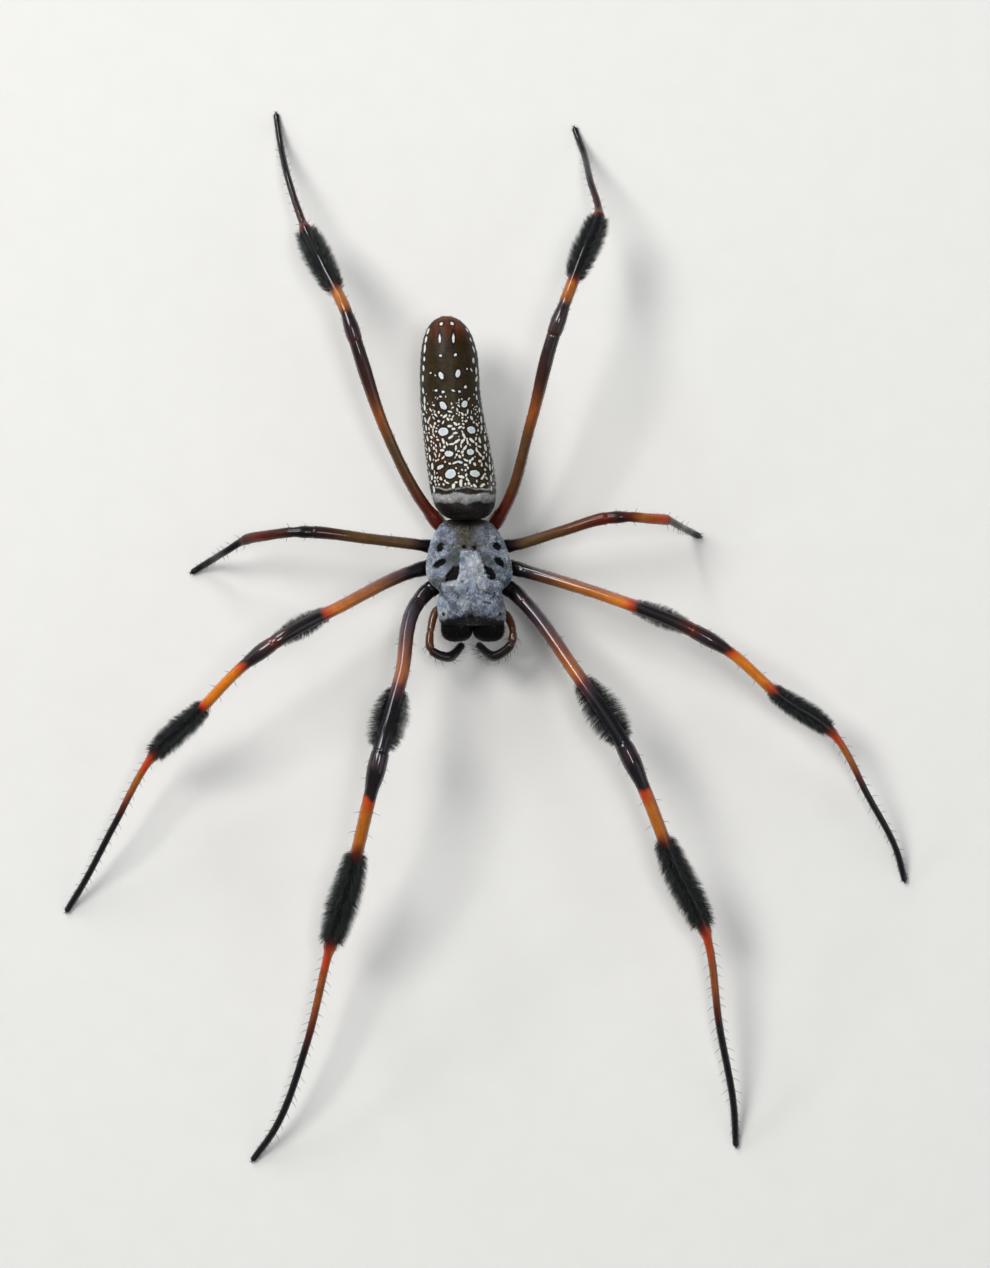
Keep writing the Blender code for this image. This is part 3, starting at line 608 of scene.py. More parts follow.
def legPath(name):
    # a smooth path from inside the body through hip and joints to the tip; the long segments bow and arch
    pair, side = int(name[0]), 1 if name.endswith("left") else -1
    hip, coxaEnd, femurStart = (np.array((headAxis(y) + side * out, y, z)) for out, y, z in legs["hips"][pair])
    knee, patellaEnd, tibiaEnd, foot, tip = (np.array(p) for p in legs["joints"][name])
    middles = [bowed(*ends, bow, arch) for ends, bow, arch in
               zip(((femurStart, knee), (patellaEnd, tibiaEnd), (tibiaEnd, foot)), legs["bows"][name], legs["arches"])]
    inner = hip + unit(hip - coxaEnd) * legs["rootSink"]
    back = foot[:2] - tip[:2]
    toe = np.append(tip[:2] + back / np.linalg.norm(back) * legs["toe"], legs["toeHeight"])
    path = smoothPath([inner, hip, coxaEnd, femurStart, middles[0], knee, patellaEnd, middles[1], tibiaEnd, middles[2],
                       foot, toe, tip])
    path["joints"] = path["knots"][[1, 3, 5, 6, 8, 10, 12]]
    path["coxaEnd"] = path["knots"][2]
    return path


def segmentPlace(path, segment, share):
    # length along the leg at a share of one of its segments
    k = list(legs["segments"]).index(segment)
    low, high = path["joints"][k], path["joints"][k + 1]
    return low + (high - low) * share


def legRadius(path, pair, s):
    # straight runs between each segment's radii, evened out over a short length, with a groove at every joint
    step = 0.05
    end = path["along"][-1]
    dense = np.arange(0, end + step, step)
    places, radii = [], []
    for (segment, shares), build in zip(legs["segments"].items(), legs["build"][pair]):
        shares = legs["lastFemur"] if (pair, segment) == (4, "femur") else shares
        places += [segmentPlace(path, segment, 0.01 + 0.98 * share) for share, _ in shares]
        radii += [build * radius for _, radius in shares]
    r = np.interp(dense, places, radii)
    width = int(legs["evenOver"] / step)
    r = np.convolve(np.pad(r, width, mode="edge"), np.ones(2*width + 1) / (2*width + 1), mode="valid")
    for place, depth in zip(path["joints"][1:-1], legs["grooves"]):
        r = r * (1 - depth * bell(dense, place, legs["grooveWidth"]))
    depth, width = legs["hipGroove"]
    r = r * (1 - depth * bell(dense, path["coxaEnd"], width)) * roundedEnd(dense, end, *legs["tipRound"])
    return np.interp(s, dense, r)


def stopColours(path, segments, s):
    # the palette's colours at their shares of each segment, mixed between stops along the leg
    stops = [(segmentPlace(path, segment, share), palette[name])
             for segment, row in segments.items() for share, name in row]
    return ramp(s, *zip(*stops))


def legTint(path, name, s, angle, north):
    # stops along the leg, shifted a little round it so no band ends straight; painted shade darkens both flanks (less
    # on the side facing the head), and a painted grey-lilac sheen lies on the femur's top and the side away from the
    # head, warmer underneath; north is how far the skin there faces +Y
    pair = int(name[0])
    wobble = 0.16 * np.sin(3 * angle + 0.9 * s) + 0.12 * np.sin(2 * angle - 1.7 * s + pair)
    tint = stopColours(path, legColours.get(name, legColours[name[0]]), np.maximum(s + wobble, 0))
    up = np.sin(angle)
    # painted shade: darker flanks, less so on the side facing the head
    flank = (bell(up, 0.0, 0.40) * (1 - 0.35 * smoothStep(-north, 0.2, 0.9)))[..., None]
    tint = tint * (1 - flank * np.array(legShade["flank"]))
    low, high = path["joints"][1], path["joints"][2]
    onFemur = smoothStep(s, low + 0.3, low + 2.0) * (1 - smoothStep(s, high - 7.5, high - 4.5))
    # painted sheen where the femur faces up and away from the head
    facing = np.clip(0.45 * up + 0.90 * north, 0, 1) ** 2.5
    return blend(tint, palette["sheenLilac"], facing * onFemur * legShade["paintedSheen"][pair])


def makeLeg(name, skinMaterial):
    # one skin over a whole leg, slightly narrower than high and kept above the floor; dull beyond the tibia in front
    pair = int(name[0])
    path = legPath(name)
    end = path["along"][-1]
    s = np.linspace(0.0, end - 0.002, int(end / legs["rowStep"]))
    rings = ringsAlong(path, s, legRadius(path, pair, s), legs["sides"], legs["flat"])
    rings[:, :, 2] = np.maximum(rings[:, :, 2], 0.0)
    _, _, side, top = pathFrame(path, s)
    sGrid, aGrid = np.meshgrid(s, turns(legs["sides"]), indexing="ij")
    north = np.cos(aGrid) * side[:, 1:2] + np.sin(aGrid) * top[:, 1:2]
    # the tint holds painted flank shade and a painted sheen on the femur
    tint = legTint(path, name, sGrid, aGrid, north)
    uv = np.stack([aGrid / fullTurn, sGrid / end], -1)
    dullFrom = path["joints"][4]
    dull = legShade["dull"] * smoothStep(sGrid, dullFrom + 0.5, dullFrom + 3.0) * (pair < 3)
    piece = tubePiece(f"legSkin_{name}", rings, {"tint": tint, "dull": dull}, uv)
    finishPiece(piece, skinMaterial, [f"leg_{name}_{segment}" for segment in legs["segments"]])
    return path


def tuftHairs(path, pair, tuft):
    # clumps on a shaken grid over the flanks and underside; each hair leaves its own root for its clump's shared tip,
    # reach follows an envelope along the brush (rounded for the femur, even for the tibia), shorter towards the top
    segment, first, last, reach, sector = tuft
    start, end = segmentPlace(path, segment, first), segmentPlace(path, segment, last) - 0.45
    gap = brush["clumpGap"]
    rows, columns = int((end - start) / gap), int(2 * math.radians(sector) * brush["skin"] / gap)
    rowAt, columnAt = np.meshgrid(np.arange(rows) + 0.5, np.arange(columns) + 0.5, indexing="ij")
    shake = chance.uniform(-0.42, 0.42, (2, rows, columns))
    clumpT = ((rowAt + shake[0] + 0.25 * np.sin(np.pi * columnAt)) / rows).ravel()
    clumpTurn = (((columnAt + shake[1]) / columns * 2 - 1) * math.radians(sector)).ravel()
    clumps = len(clumpT)

    def direction(s, turn, lean):
        centre, ahead, side, top = pathFrame(path, s)
        out = side * np.sin(turn)[:, None] - top * np.cos(turn)[:, None]
        return centre, out, out * np.sin(lean)[:, None] + ahead * np.cos(lean)[:, None]

    def envelope(t, turn):
        rounded = 0.30 + 0.70 * np.sin(np.pi * np.clip(0.07 + 0.83 * t, 0, 1)) ** 0.75
        even = 0.70 + 0.30 * np.sin(np.pi * np.clip(t, 0, 1)) ** 0.7
        high = smoothStep(np.degrees(np.abs(turn)), 105, 150)
        return np.where(segment == "femur", rounded, even) * (1 - 0.30 * high)

    clumpS = start + (end - start) * clumpT
    lean = np.radians(brush["lean"][segment] + chance.normal(0, 5, clumps) - 16 * (np.abs(clumpTurn) > 2.2))
    centre, out, toward = direction(clumpS, clumpTurn, lean)
    r = legRadius(path, pair, clumpS)
    span = (reach * envelope(clumpT, clumpTurn) - r) / np.sin(lean) * chance.uniform(0.86, 1.08, clumps)
    span = np.maximum(span, brush["shortest"])
    clumpTip = centre + out * r[:, None] + toward * span[:, None]
    gathered = np.repeat(np.arange(clumps), brush["clumpHairs"])
    loose = chance.integers(0, clumps, int(len(gathered) * brush["underHairs"]))
    of = np.concatenate([gathered, loose])
    count = len(of)
    isLoose = np.arange(count) >= len(gathered)
    spread = np.where(isLoose, *brush["spread"])
    s = clumpS[of] + chance.normal(0, 1, count) * spread
    turn = clumpTurn[of] + chance.normal(0, 1, count) * spread / brush["skin"]
    centre, out, own = direction(s, turn, lean[of] + chance.normal(0, 0.12, count))
    roots = centre + out * (legRadius(path, pair, s) * 0.97)[:, None]
    gather = np.where(isLoose, *brush["gather"])[:, None]
    length = span[of] * np.where(isLoose, chance.uniform(0.5, 1.0, count), chance.uniform(0.78, 1.04, count))
    aim = unit(clumpTip[of] + chance.normal(0, 0.05, (count, 3)) - roots) * gather + own * (1 - gather)
    aim = unit(aim)
    bend = np.radians(brush["bend"])
    rise = np.arcsin(np.clip(dot(aim, out), -0.2, 0.98)) + bend / 2
    unwrap = np.stack([turn / fullTurn + 0.5, s / path["along"][-1]], -1)
    share = (s - start) / (end - start)
    return roots, out, aim, length, rise, bend, unwrap, share


def makeTufts(name, path, material):
    # a leg's brushes: coarse black bristles and fine greyish ones, reddish at both ends of a tibia's brush; a few tips
    # carry a painted glint
    for tuft in legTufts.get(name, ()):
        roots, out, lie, length, rise, bend, unwrap, share = tuftHairs(path, int(name[0]), tuft)
        count = len(roots)
        coarse = chance.random(count) < brush["coarseShare"]
        radius = np.where(coarse, brush["coarse"], brush["fine"])
        grey = chance.uniform(0.6, 1.5, (count, 1))
        base = np.array(brush["root"]) * grey
        tips = np.where(coarse[:, None], brush["coarseTip"], brush["fineTip"]) * grey
        # painted glints: a few hair tips made light greenish grey
        tips = np.where(chance.random((count, 1)) < brush["glintShare"], brush["glintTip"], tips)
        red = 0.75 * (smoothStep(share, 0.90, 1.02) + 0.6 * smoothStep(-share, -0.09, 0.02)) * (tuft[0] == "tibia")
        base, tips = blend(base, brush["redRoot"], red), blend(tips, brush["redTip"], red)
        piece = hairPiece(f"tuft_{name}_{tuft[0]}", roots, out, lie, length, radius, rise, bend, base, tips, unwrap)
        finishPiece(piece, material)


# stiff spines: segment, (first share, last share, mm between), degrees round from the side over the top, length, lean;
# the scale is each pair's length beside these
legSpines = (
    ("femur", (0.30, 0.58, 3.1), (12, 166), 0.55, 44), ("patella", (0.35, 0.9, 1.6), (4, 176), 0.60, 50),
    ("tibia", (0.12, 0.36, 2.4), (8, 170), 0.80, 64), ("metatarsus", (0.04, 0.97, 1.12), (6, 174), 0.82, 50),
    ("metatarsus", (0.10, 0.95, 1.9), (-60, -120, 80), 0.62, 46), ("tarsus", (0.10, 0.95, 0.8), (-20, 200), 0.45, 36),
)
spineForm = {"radius": 0.029, "bend": 14, "root": (0.012, 0.008, 0.007), "tip": (0.030, 0.018, 0.014)}
spineScale = {1: 1.0, 2: 0.78, 3: 0.85, 4: 0.55}


def makeSpines(name, path, material):
    # single curved horns in rows along the leg, shaken a little from their places
    pair = int(name[0])
    rows = []
    for segment, (first, last, gap), angles, long, tilt in legSpines:
        for angle in angles:
            s = np.arange(segmentPlace(path, segment, first), segmentPlace(path, segment, last), gap)
            count = len(s)
            rows.append((s + chance.normal(0, 0.16, count), np.radians(angle + chance.normal(0, 9, count)),
                         long * spineScale[pair] * chance.uniform(0.75, 1.15, count),
                         np.radians(tilt + chance.normal(0, 6, count))))
    at, turn, length, lean = (np.concatenate(column) for column in zip(*rows))
    at = np.clip(at, 2.0, path["along"][-1] - 0.2)
    roots, out, ahead = skinPlace(path, at, turn, legRadius(path, pair, at) * 0.96)
    tip = roots + length[:, None] * (out * np.sin(lean)[:, None] + ahead * np.cos(lean)[:, None])
    keep = (tip[:, 2] > 0.1) & (roots[:, 2] > 0.15)
    unwrap = np.stack([turn / fullTurn, at / path["along"][-1]], -1)
    piece = hairPiece(f"spines_{name}", roots[keep], out[keep], ahead[keep], length[keep], spineForm["radius"],
                      lean[keep] + 0.15, np.radians(spineForm["bend"]), spineForm["root"], spineForm["tip"],
                      unwrap[keep], rings=5, flat=1.0)
    finishPiece(piece, material)


claws = {"lengths": (0.42, 0.42, 0.294), "radius": 0.045, "spread": (-24, 24, 0), "rise": (26, 26, 4), "bend": 64,
         "root": (0.014, 0.007, 0.005), "tip": (0.004, 0.003, 0.003)}


def makeClaws(name, path, material):
    # two curved hooks side by side at the tip and a smaller one between them; each leaves upward and bends down
    centre, ahead, side, _ = pathFrame(path, np.full(3, path["along"][-1] - 0.12))
    turn = np.radians(claws["spread"])[:, None]
    lie = unit(ahead * (1.0, 1.0, 0.0)) * np.cos(turn) + side * np.sin(turn)
    out = np.tile((0.0, 0.0, 1.0), (3, 1))
    piece = hairPiece(f"claws_{name}", centre + (0.0, 0.0, 0.05) + 0.06 * lie, out, lie, np.array(claws["lengths"]),
                      claws["radius"], np.radians(claws["rise"]), np.radians(claws["bend"]), claws["root"],
                      claws["tip"], np.zeros((3, 2)), rings=7, flat=1.0)
    finishPiece(piece, material)


# leg hair: hairs per mm of leg, lengths, radius, rise above and below in degrees, bend
legHair = {"perMm": 34, "lengths": (0.24, 0.44), "radius": 0.014, "riseAbove": 13, "riseBelow": 24, "bend": 10}


def makeLegHair(name, path, material):
    # a thin cover of short hairs that lie along the leg, longer and more upright below; none reaches the floor
    pair = int(name[0])
    end = path["along"][-1]
    count = int(end * legHair["perMm"])
    s = chance.uniform(path["joints"][0] + 1.6, end - 0.15, count)
    angle = chance.uniform(0, fullTurn, count)
    roots, out, ahead = skinPlace(path, s, angle, legRadius(path, pair, s) * 0.98)
    up = np.sin(angle)
    rise = np.radians(np.where(up < 0.3, legHair["riseBelow"], legHair["riseAbove"]) + chance.normal(0, 5, count))
    length = chance.uniform(*legHair["lengths"], count) * (0.8 + 0.3 * (up < 0))
    # the hair takes the leg's tint, with its painted flank shade and femur sheen
    colour = legTint(path, name, s, angle, out[:, 1]) * 0.5 + 0.004
    keep = roots[:, 2] + length * (out[:, 2] * np.sin(rise) + ahead[:, 2] * np.cos(rise)) > 0.04
    unwrap = np.stack([angle / fullTurn, s / end], -1)
    piece = hairPiece(f"legHair_{name}", roots[keep], out[keep], ahead[keep], length[keep], legHair["radius"],
                      rise[keep], np.radians(legHair["bend"]), colour[keep], colour[keep] * 1.4, unwrap[keep], rings=2)
    finishPiece(piece, material)


legSkinSettings = {"grainAround": 26.0, "grainAlong": 60.0, "mottleScale": 900.0, "mottle": 0.10, "streak": 0.16,
                   "roughness": 0.34, "coat": 0.80, "gloss": 0.16, "pitScale": 4200.0, "bump": 0.24}
legSkinMaterial = cuticleMaterial("legCuticle", legSkinSettings)
tuftMaterial = hairMaterial("tuftHair", 0.45)
fineHairMaterial = hairMaterial("fineHair", 0.40)
duskSkinMaterial = cuticleMaterial("duskCuticle", dict(legSkinSettings, coat=0.30, gloss=0.12))
for legName in legs["joints"]:
    legWay = makeLeg(legName, duskSkinMaterial if legName[0] == "3" else legSkinMaterial)
    makeTufts(legName, legWay, tuftMaterial)
    makeLegHair(legName, legWay, fineHairMaterial)
    makeSpines(legName, legWay, fineHairMaterial)
    makeClaws(legName, legWay, fineHairMaterial)
print("legs, brushes and leg hair made")


# abdomen: a long barrel, brown to olive, sown with white flecks
abdomen = {
    # y, half width, half height, centre height
    "stations": ((11.72, 1.05, 0.36, 9.92), (11.84, 1.62, 0.66, 9.82), (12.18, 2.28, 1.22, 9.38),
                 (12.7, 2.74, 1.85, 8.88), (13.7, 3.12, 2.6, 8.15), (15.7, 3.33, 3.1, 7.8), (18.0, 3.3, 3.2, 7.85),
                 (20.5, 3.18, 3.15, 7.95), (23.5, 3.02, 3.05, 8.1), (26.2, 2.94, 2.95, 8.25), (28.4, 2.78, 2.75, 8.4),
                 (29.8, 2.45, 2.4, 8.5), (30.9, 1.9, 1.85, 8.55), (31.6, 1.2, 1.15, 8.6), (31.95, 0.45, 0.45, 8.6)),
    "rows": 330, "sides": 288, "foldGap": 1.55, "foldDepth": 0.045, "rippleDepth": 0.03,
    # large pale spots: out from the middle, y, half length, half width, turn
    "spots": ((-0.58, 31.16, 0.17, 0.16, 0), (0.47, 31.19, 0.17, 0.15, 0), (-0.84, 29.69, 0.45, 0.12, 98),
              (0.51, 29.66, 0.45, 0.12, 86), (-0.81, 27.98, 0.15, 0.13, 0), (0.65, 28.05, 0.16, 0.13, 40),
              (-0.84, 26.01, 0.39, 0.22, 115), (0.85, 26.2, 0.4, 0.23, 75), (-1.87, 26.27, 0.12, 0.1, 0),
              (1.75, 26.66, 0.13, 0.1, 0), (-1.4, 24.53, 0.15, 0.13, 0), (-0.71, 24.38, 0.15, 0.12, 0),
              (0.92, 24.43, 0.14, 0.12, 0), (1.55, 24.88, 0.18, 0.15, 30), (-0.82, 23.03, 0.45, 0.29, 128),
              (1.34, 23.19, 0.36, 0.31, 50), (-1.45, 21.51, 0.17, 0.13, 0), (1.85, 21.8, 0.24, 0.15, 120),
              (-1.16, 20.45, 0.52, 0.4, 10), (1.67, 20.62, 0.48, 0.35, 165), (-0.95, 18.26, 0.45, 0.29, 0),
              (1.22, 18.44, 0.38, 0.3, 0), (-1.09, 16.26, 0.58, 0.44, 25), (1.36, 16.31, 0.55, 0.33, 170),
              (-2.02, 16.95, 0.45, 0.18, 22), (0.05, 17.42, 0.3, 0.11, 160), (-0.46, 17.38, 0.26, 0.11, 20)),
    "flecks": 15000, "fleckGap": 0.060, "bandFrom": 13.30, "bandTo": 14.28,
    "fur": {"count": 3600, "lengths": (0.22, 0.45), "radius": 0.011, "rise": (24, 7), "bend": 14},
    # how the band's front edge waves: depth, turn from the top, width
    "scallops": ((0.12, -0.24, 0.15), (0.2, 0.42, 0.26), (-0.15, 0.04, 0.08), (0.16, -0.95, 0.22), (0.2, 1.05, 0.22)),
    # the chain of dashes down each flank: turn from the top in degrees, mm between, half width
    "chainTurn": 62.0, "chainGap": 0.98, "chainWide": 0.19,
}
abdomenColours = {
    # along the middle of the back: y and the colour there
    "back": ((12, (0.036, 0.023, 0.007)), (18, (0.042, 0.028, 0.008)), (22, (0.038, 0.026, 0.008)),
             (26, (0.031, 0.020, 0.005)), (29.5, (0.028, 0.015, 0.004)), (31.2, (0.085, 0.024, 0.008))),
    "rust": (0.16, 0.030, 0.012), "flank": (0.007, 0.006, 0.006), "belly": (0.085, 0.052, 0.024),
    "band": (0.34, 0.345, 0.35), "bandEdge": (0.010, 0.009, 0.009), "haze": (0.26, 0.26, 0.27),
    "line": (0.58, 0.58, 0.56), "front": (0.0045, 0.0032, 0.003), "hair": (0.010, 0.007, 0.004),
    "fleck": (0.80, 0.79, 0.72), "largeFleck": (0.56, 0.70, 0.80), "rim": (0.008, 0.006, 0.006),
    "largeRim": (0.006, 0.006, 0.014),
}


def abdomenSize(y):
    # half width, half height and height of the middle at a length y, by straight lines between the stations
    s = np.array(abdomen["stations"])
    return (np.interp(y, s[:, 0], s[:, k]) for k in (1, 2, 3))


def abdomenPlace(y, turn):
    # the surface at a length y and a turn from the top: an oval ring, and the outward direction across it
    half, tall, centre = abdomenSize(y)
    spot = np.stack([abdomenAxis(y) + half * np.sin(turn), y, centre + tall * np.cos(turn)], -1)
    return spot, unit(np.stack([np.sin(turn) / half, np.zeros_like(y), np.cos(turn) / tall], -1))


def sowFlecks():
    # the large spots, then small ovals thrown at random and kept where they clear the rest and the place calls for them
    flecks = []
    for out, y, long, wide, turn in abdomen["spots"]:
        half = next(abdomenSize(y))
        spot, normal = abdomenPlace(np.array(y), np.array(math.asin(np.clip(out / half, -0.95, 0.95))))
        flecks.append((spot, normal, long, wide, math.radians(turn), 0.0, 1.0))
    for side in (-1, 1):
        row = np.arange(14.9, 30.6, abdomen["chainGap"])
        row = row + chance.uniform(-0.16, 0.16, len(row))
        rolls = side * np.radians(abdomen["chainTurn"] + chance.normal(0, 1.8, len(row)))
        for spot, normal in zip(*abdomenPlace(row, rolls)):
            wide = abdomen["chainWide"] * chance.uniform(0.8, 1.15)
            long, turn = wide * chance.uniform(1.3, 2.2), math.pi / 2 + chance.normal(0, 0.2)
            flecks.append((spot, normal, long, wide, turn, 0.0, 0.0))
    count = abdomen["flecks"]
    ys, turned = chance.uniform(15.0, 31.0, count), chance.uniform(-math.pi, math.pi, count)
    places, normals = abdomenPlace(ys, turned)
    size = chance.uniform(0.075, 0.155, count)
    stretch, spin = chance.uniform(1.0, 2.5, count) ** 1.25, chance.uniform(0, math.pi, count)
    curl = chance.normal(0, 0.5, count) * (stretch > 1.7)
    side = np.degrees(np.abs(turned))
    crowd = smoothStep(24.4 - ys, 0, 5.5)
    want = np.maximum.reduce([(0.022 + 0.978 * crowd ** 0.8) * (side < 56) * (ys < 26.6) * (1 - bell(ys, 25.2, 0.6)),
                              0.8 * crowd * (side < 108), 0.10 * (side > 120)])
    size = size * (0.62 + 0.42 * crowd)
    centres = np.array([f[0] for f in flecks])
    reach = np.array([f[2] for f in flecks]) * 1.12
    for k in np.flatnonzero(chance.random(count) < want):
        long = size[k] * stretch[k]
        mean = (long + size[k]) / 2
        if (np.linalg.norm(centres - places[k], axis=1) > reach + mean + abdomen["fleckGap"]).all():
            flecks.append((places[k], normals[k], long, size[k], spin[k], curl[k], 0.0))
            centres = np.vstack([centres, places[k]])
            reach = np.append(reach, mean)
    return flecks


def fleckDistance(points, flecks):
    # least signed distance to any fleck, and to any large one: ovals in the tangent plane of their own middle, their
    # long axis bent by curl u^2
    far = 1.2
    nearest, nearestLarge = np.full(points.shape[:-1], 9.0), np.full(points.shape[:-1], 9.0)
    for spot, normal, long, wide, turn, curl, large in flecks:
        near = np.abs(points[..., 1] - spot[1]) < long + far
        offset = points[near] - spot
        sideways = unit(np.cross((0.0, 1.0, 0.0), normal))
        forward = np.cross(normal, sideways)
        a = sideways * math.cos(turn) + forward * math.sin(turn)
        b = np.cross(normal, a)
        u, v = offset @ a, offset @ b
        away = (np.hypot(u / long, (v - curl * (u * u - long * long / 3)) / wide) - 1) * wide
        away = away + 4 * (np.abs(offset @ normal) > far)
        for kept in (nearest, nearestLarge) if large else (nearest,):
            kept[near] = np.minimum(kept[near], away)
    return nearest, nearestLarge


def abdomenTint(points, turn):
    # brown at the rear, olive ahead, rusty patches, black flanks, then the whitish band and the dark front
    colours = abdomenColours
    y = points[..., 1]
    side = np.degrees(np.abs(turn))
    tint = ramp(y, *zip(*colours["back"]))
    rust = bell(y, 19.2, 2.6) * bell(side * np.sign(turn), -42, 18) + 0.38 * bell(y, 31.0, 1.3) * (side < 70)
    tint = blend(tint, colours["rust"], 0.75 * np.clip(rust, 0, 1) * (0.75 + 0.25 * wave(points, 2.2)))
    flank = smoothStep(side + 4 * wave(points, 1.4), 48, 62) * (1 - smoothStep(side, 128, 160))
    tint = blend(tint, colours["flank"], 0.95 * flank)
    tint = blend(tint, colours["belly"], 0.8 * smoothStep(side, 125, 160))
    ragged = y + 0.07 * wave(points, 2.2, 3.0) + 0.05 * wave(points, 6.0, 1.0)
    scallop = sum(depth * bell(turn, at, width) for depth, at, width in abdomen["scallops"])
    low, high = abdomen["bandFrom"] + scallop, abdomen["bandTo"] - 0.10 * np.sin(7 * turn)
    band = smoothStep(ragged, low - 0.05, low + 0.14) * (1 - smoothStep(ragged, high - 0.06, high + 0.10))
    depth = np.clip((ragged - low) / (high - low), 0, 1)
    bandTone = np.array(colours["band"]) * (0.45 + 0.9 * depth[..., None] ** 1.3)
    tint = blend(tint, colours["bandEdge"], 0.85 * bell(ragged, abdomen["bandTo"] + 0.32, 0.24))
    thin = y - 0.10 * np.sin(5.5 * turn + 1.0) - 0.05 * np.sin(13 * turn) - 0.05 * wave(points, 4.0)
    line = bell(thin, abdomen["bandTo"] + 0.56, 0.075) * (side < 66) * (0.80 + 0.35 * wave(points, 2.4, 6.0))
    haze = bell(y, abdomen["bandTo"] + 0.9, 0.9) * smoothStep(side * np.sign(turn), 44, 60) * (side < 76)
    tint = blend(blend(tint, colours["haze"], 0.7 * haze), colours["line"], np.clip(line, 0, 1))
    tint = blend(tint, bandTone * (0.9 + 0.2 * wave(points, 5.0)[..., None]), band * (1 - smoothStep(side, 84, 100)))
    return blend(tint, colours["front"], 0.985 * (1 - smoothStep(ragged, low - 0.10, low + 0.04)))


def abdomenMaterial():
    # cuticle under the flecks: the spot distance cuts each fleck's edge, roughened by noise, with a dark rim round it
    material, tree, shader = newMaterial("abdomenCuticle")
    place = objectPlace(tree)
    fine, cloud = noise(tree, place, 5200.0, 3.0, 0.6), noise(tree, place, 900.0, 4.0, 0.6)
    cells = {"Vector": place, "Scale": 2400.0}
    worm = addNode(tree, "ShaderNodeTexVoronoi", cells, feature="SMOOTH_F1").outputs["Distance"]
    rough = vary(tree, fine, -0.03, 0.03)
    edge, edgeLarge = (maths(tree, "ADD", attribute(tree, name), rough) for name in ("away", "awayLarge"))
    base = shadeColour(tree, attribute(tree, "tint", "Color"), vary(tree, cloud, 0.68, 1.35))
    base = shadeColour(tree, base, mapRange(tree, worm, 0.10, 0.45, 1.30, 0.85))
    for away, reach, near, most, colour in ((edge, 0.15, 0.03, 0.88, "rim"), (edgeLarge, 0.22, 0.05, 0.9, "largeRim")):
        rim = maths(tree, "MULTIPLY", mapRange(tree, away, reach, near), most)
        base = mixColour(tree, rim, base, abdomenColours[colour])
    pale = mixColour(tree, mapRange(tree, edgeLarge, 0.0, -0.22), abdomenColours["fleck"], abdomenColours["largeFleck"])
    base = mixColour(tree, mapRange(tree, edge, 0.015, -0.02), base, pale)
    height = maths(tree, "ADD", maths(tree, "MULTIPLY", fine, 0.5), mapRange(tree, edge, 0.03, -0.08, 0.0, 0.7))
    plug(tree, shader, {"Base Color": base, "Roughness": mapRange(tree, fine, 0.25, 0.75, 0.34, 0.55),
                        "Specular IOR Level": 0.13, "Coat Weight": 0.06, "Coat Roughness": 0.30,
                        "Normal": bumpFrom(tree, height, 0.5, 0.00004)})
    return material


def makeAbdomen(hairShade):
    # oval rings along the stations' smooth course; small ripples fold the flanks and the folds of the segments
    path = smoothPath(abdomen["stations"])
    s = np.linspace(0, path["along"][-1], abdomen["rows"])
    y, half, tall, centre = pathPoint(path, s).T
    turn = turns(abdomen["sides"])
    turn = np.where(turn > math.pi, turn - fullTurn, turn)
    yGrid, tGrid = np.meshgrid(y, turn, indexing="ij")
    rings = np.stack([abdomenAxis(yGrid) + half[:, None] * np.sin(tGrid), yGrid,
                      centre[:, None] + tall[:, None] * np.cos(tGrid)], -1)
    out = unit(np.stack([np.sin(tGrid), np.zeros_like(yGrid), np.cos(tGrid)], -1))
    inside = smoothStep(yGrid, 12.6, 14.5) * (1 - smoothStep(yGrid, 29.5, 31.5))
    fold = np.abs(np.sin(fullTurn * yGrid / abdomen["foldGap"] + 0.6 * wave(rings, 0.6)))
    relief = -abdomen["foldDepth"] * (1 - fold ** 0.5) * smoothStep(np.abs(tGrid), 0.8, 1.6)
    relief = relief - abdomen["rippleDepth"] * wave(rings, 1.1)
    rings = rings + out * (relief * inside)[..., None]
    flecks = sowFlecks()
    away, awayLarge = fleckDistance(rings, flecks)
    uv = np.stack([tGrid / fullTurn + 0.5, np.broadcast_to((s / s[-1])[:, None], tGrid.shape)], -1)
    values = {"tint": abdomenTint(rings, tGrid), "away": away, "awayLarge": awayLarge}
    finishPiece(tubePiece("abdomenSkin", rings, values, uv), abdomenMaterial(), ["abdomen"])
    count = abdomen["fur"]["count"]
    roots, normals, unwrap = scatterOn(rings, count)
    colour = abdomenTint(roots, np.arctan2(normals[:, 0], normals[:, 2])) * 0.8 + abdomenColours["hair"]
    lie = np.stack([chance.normal(0, 0.25, count), np.ones(count), chance.normal(0, 0.25, count)], -1)
    coat = furPiece("abdomenHair", abdomen["fur"], roots, normals, lie, colour, colour * 1.6, unwrap)
    finishPiece(coat, hairShade)
    return len(flecks)


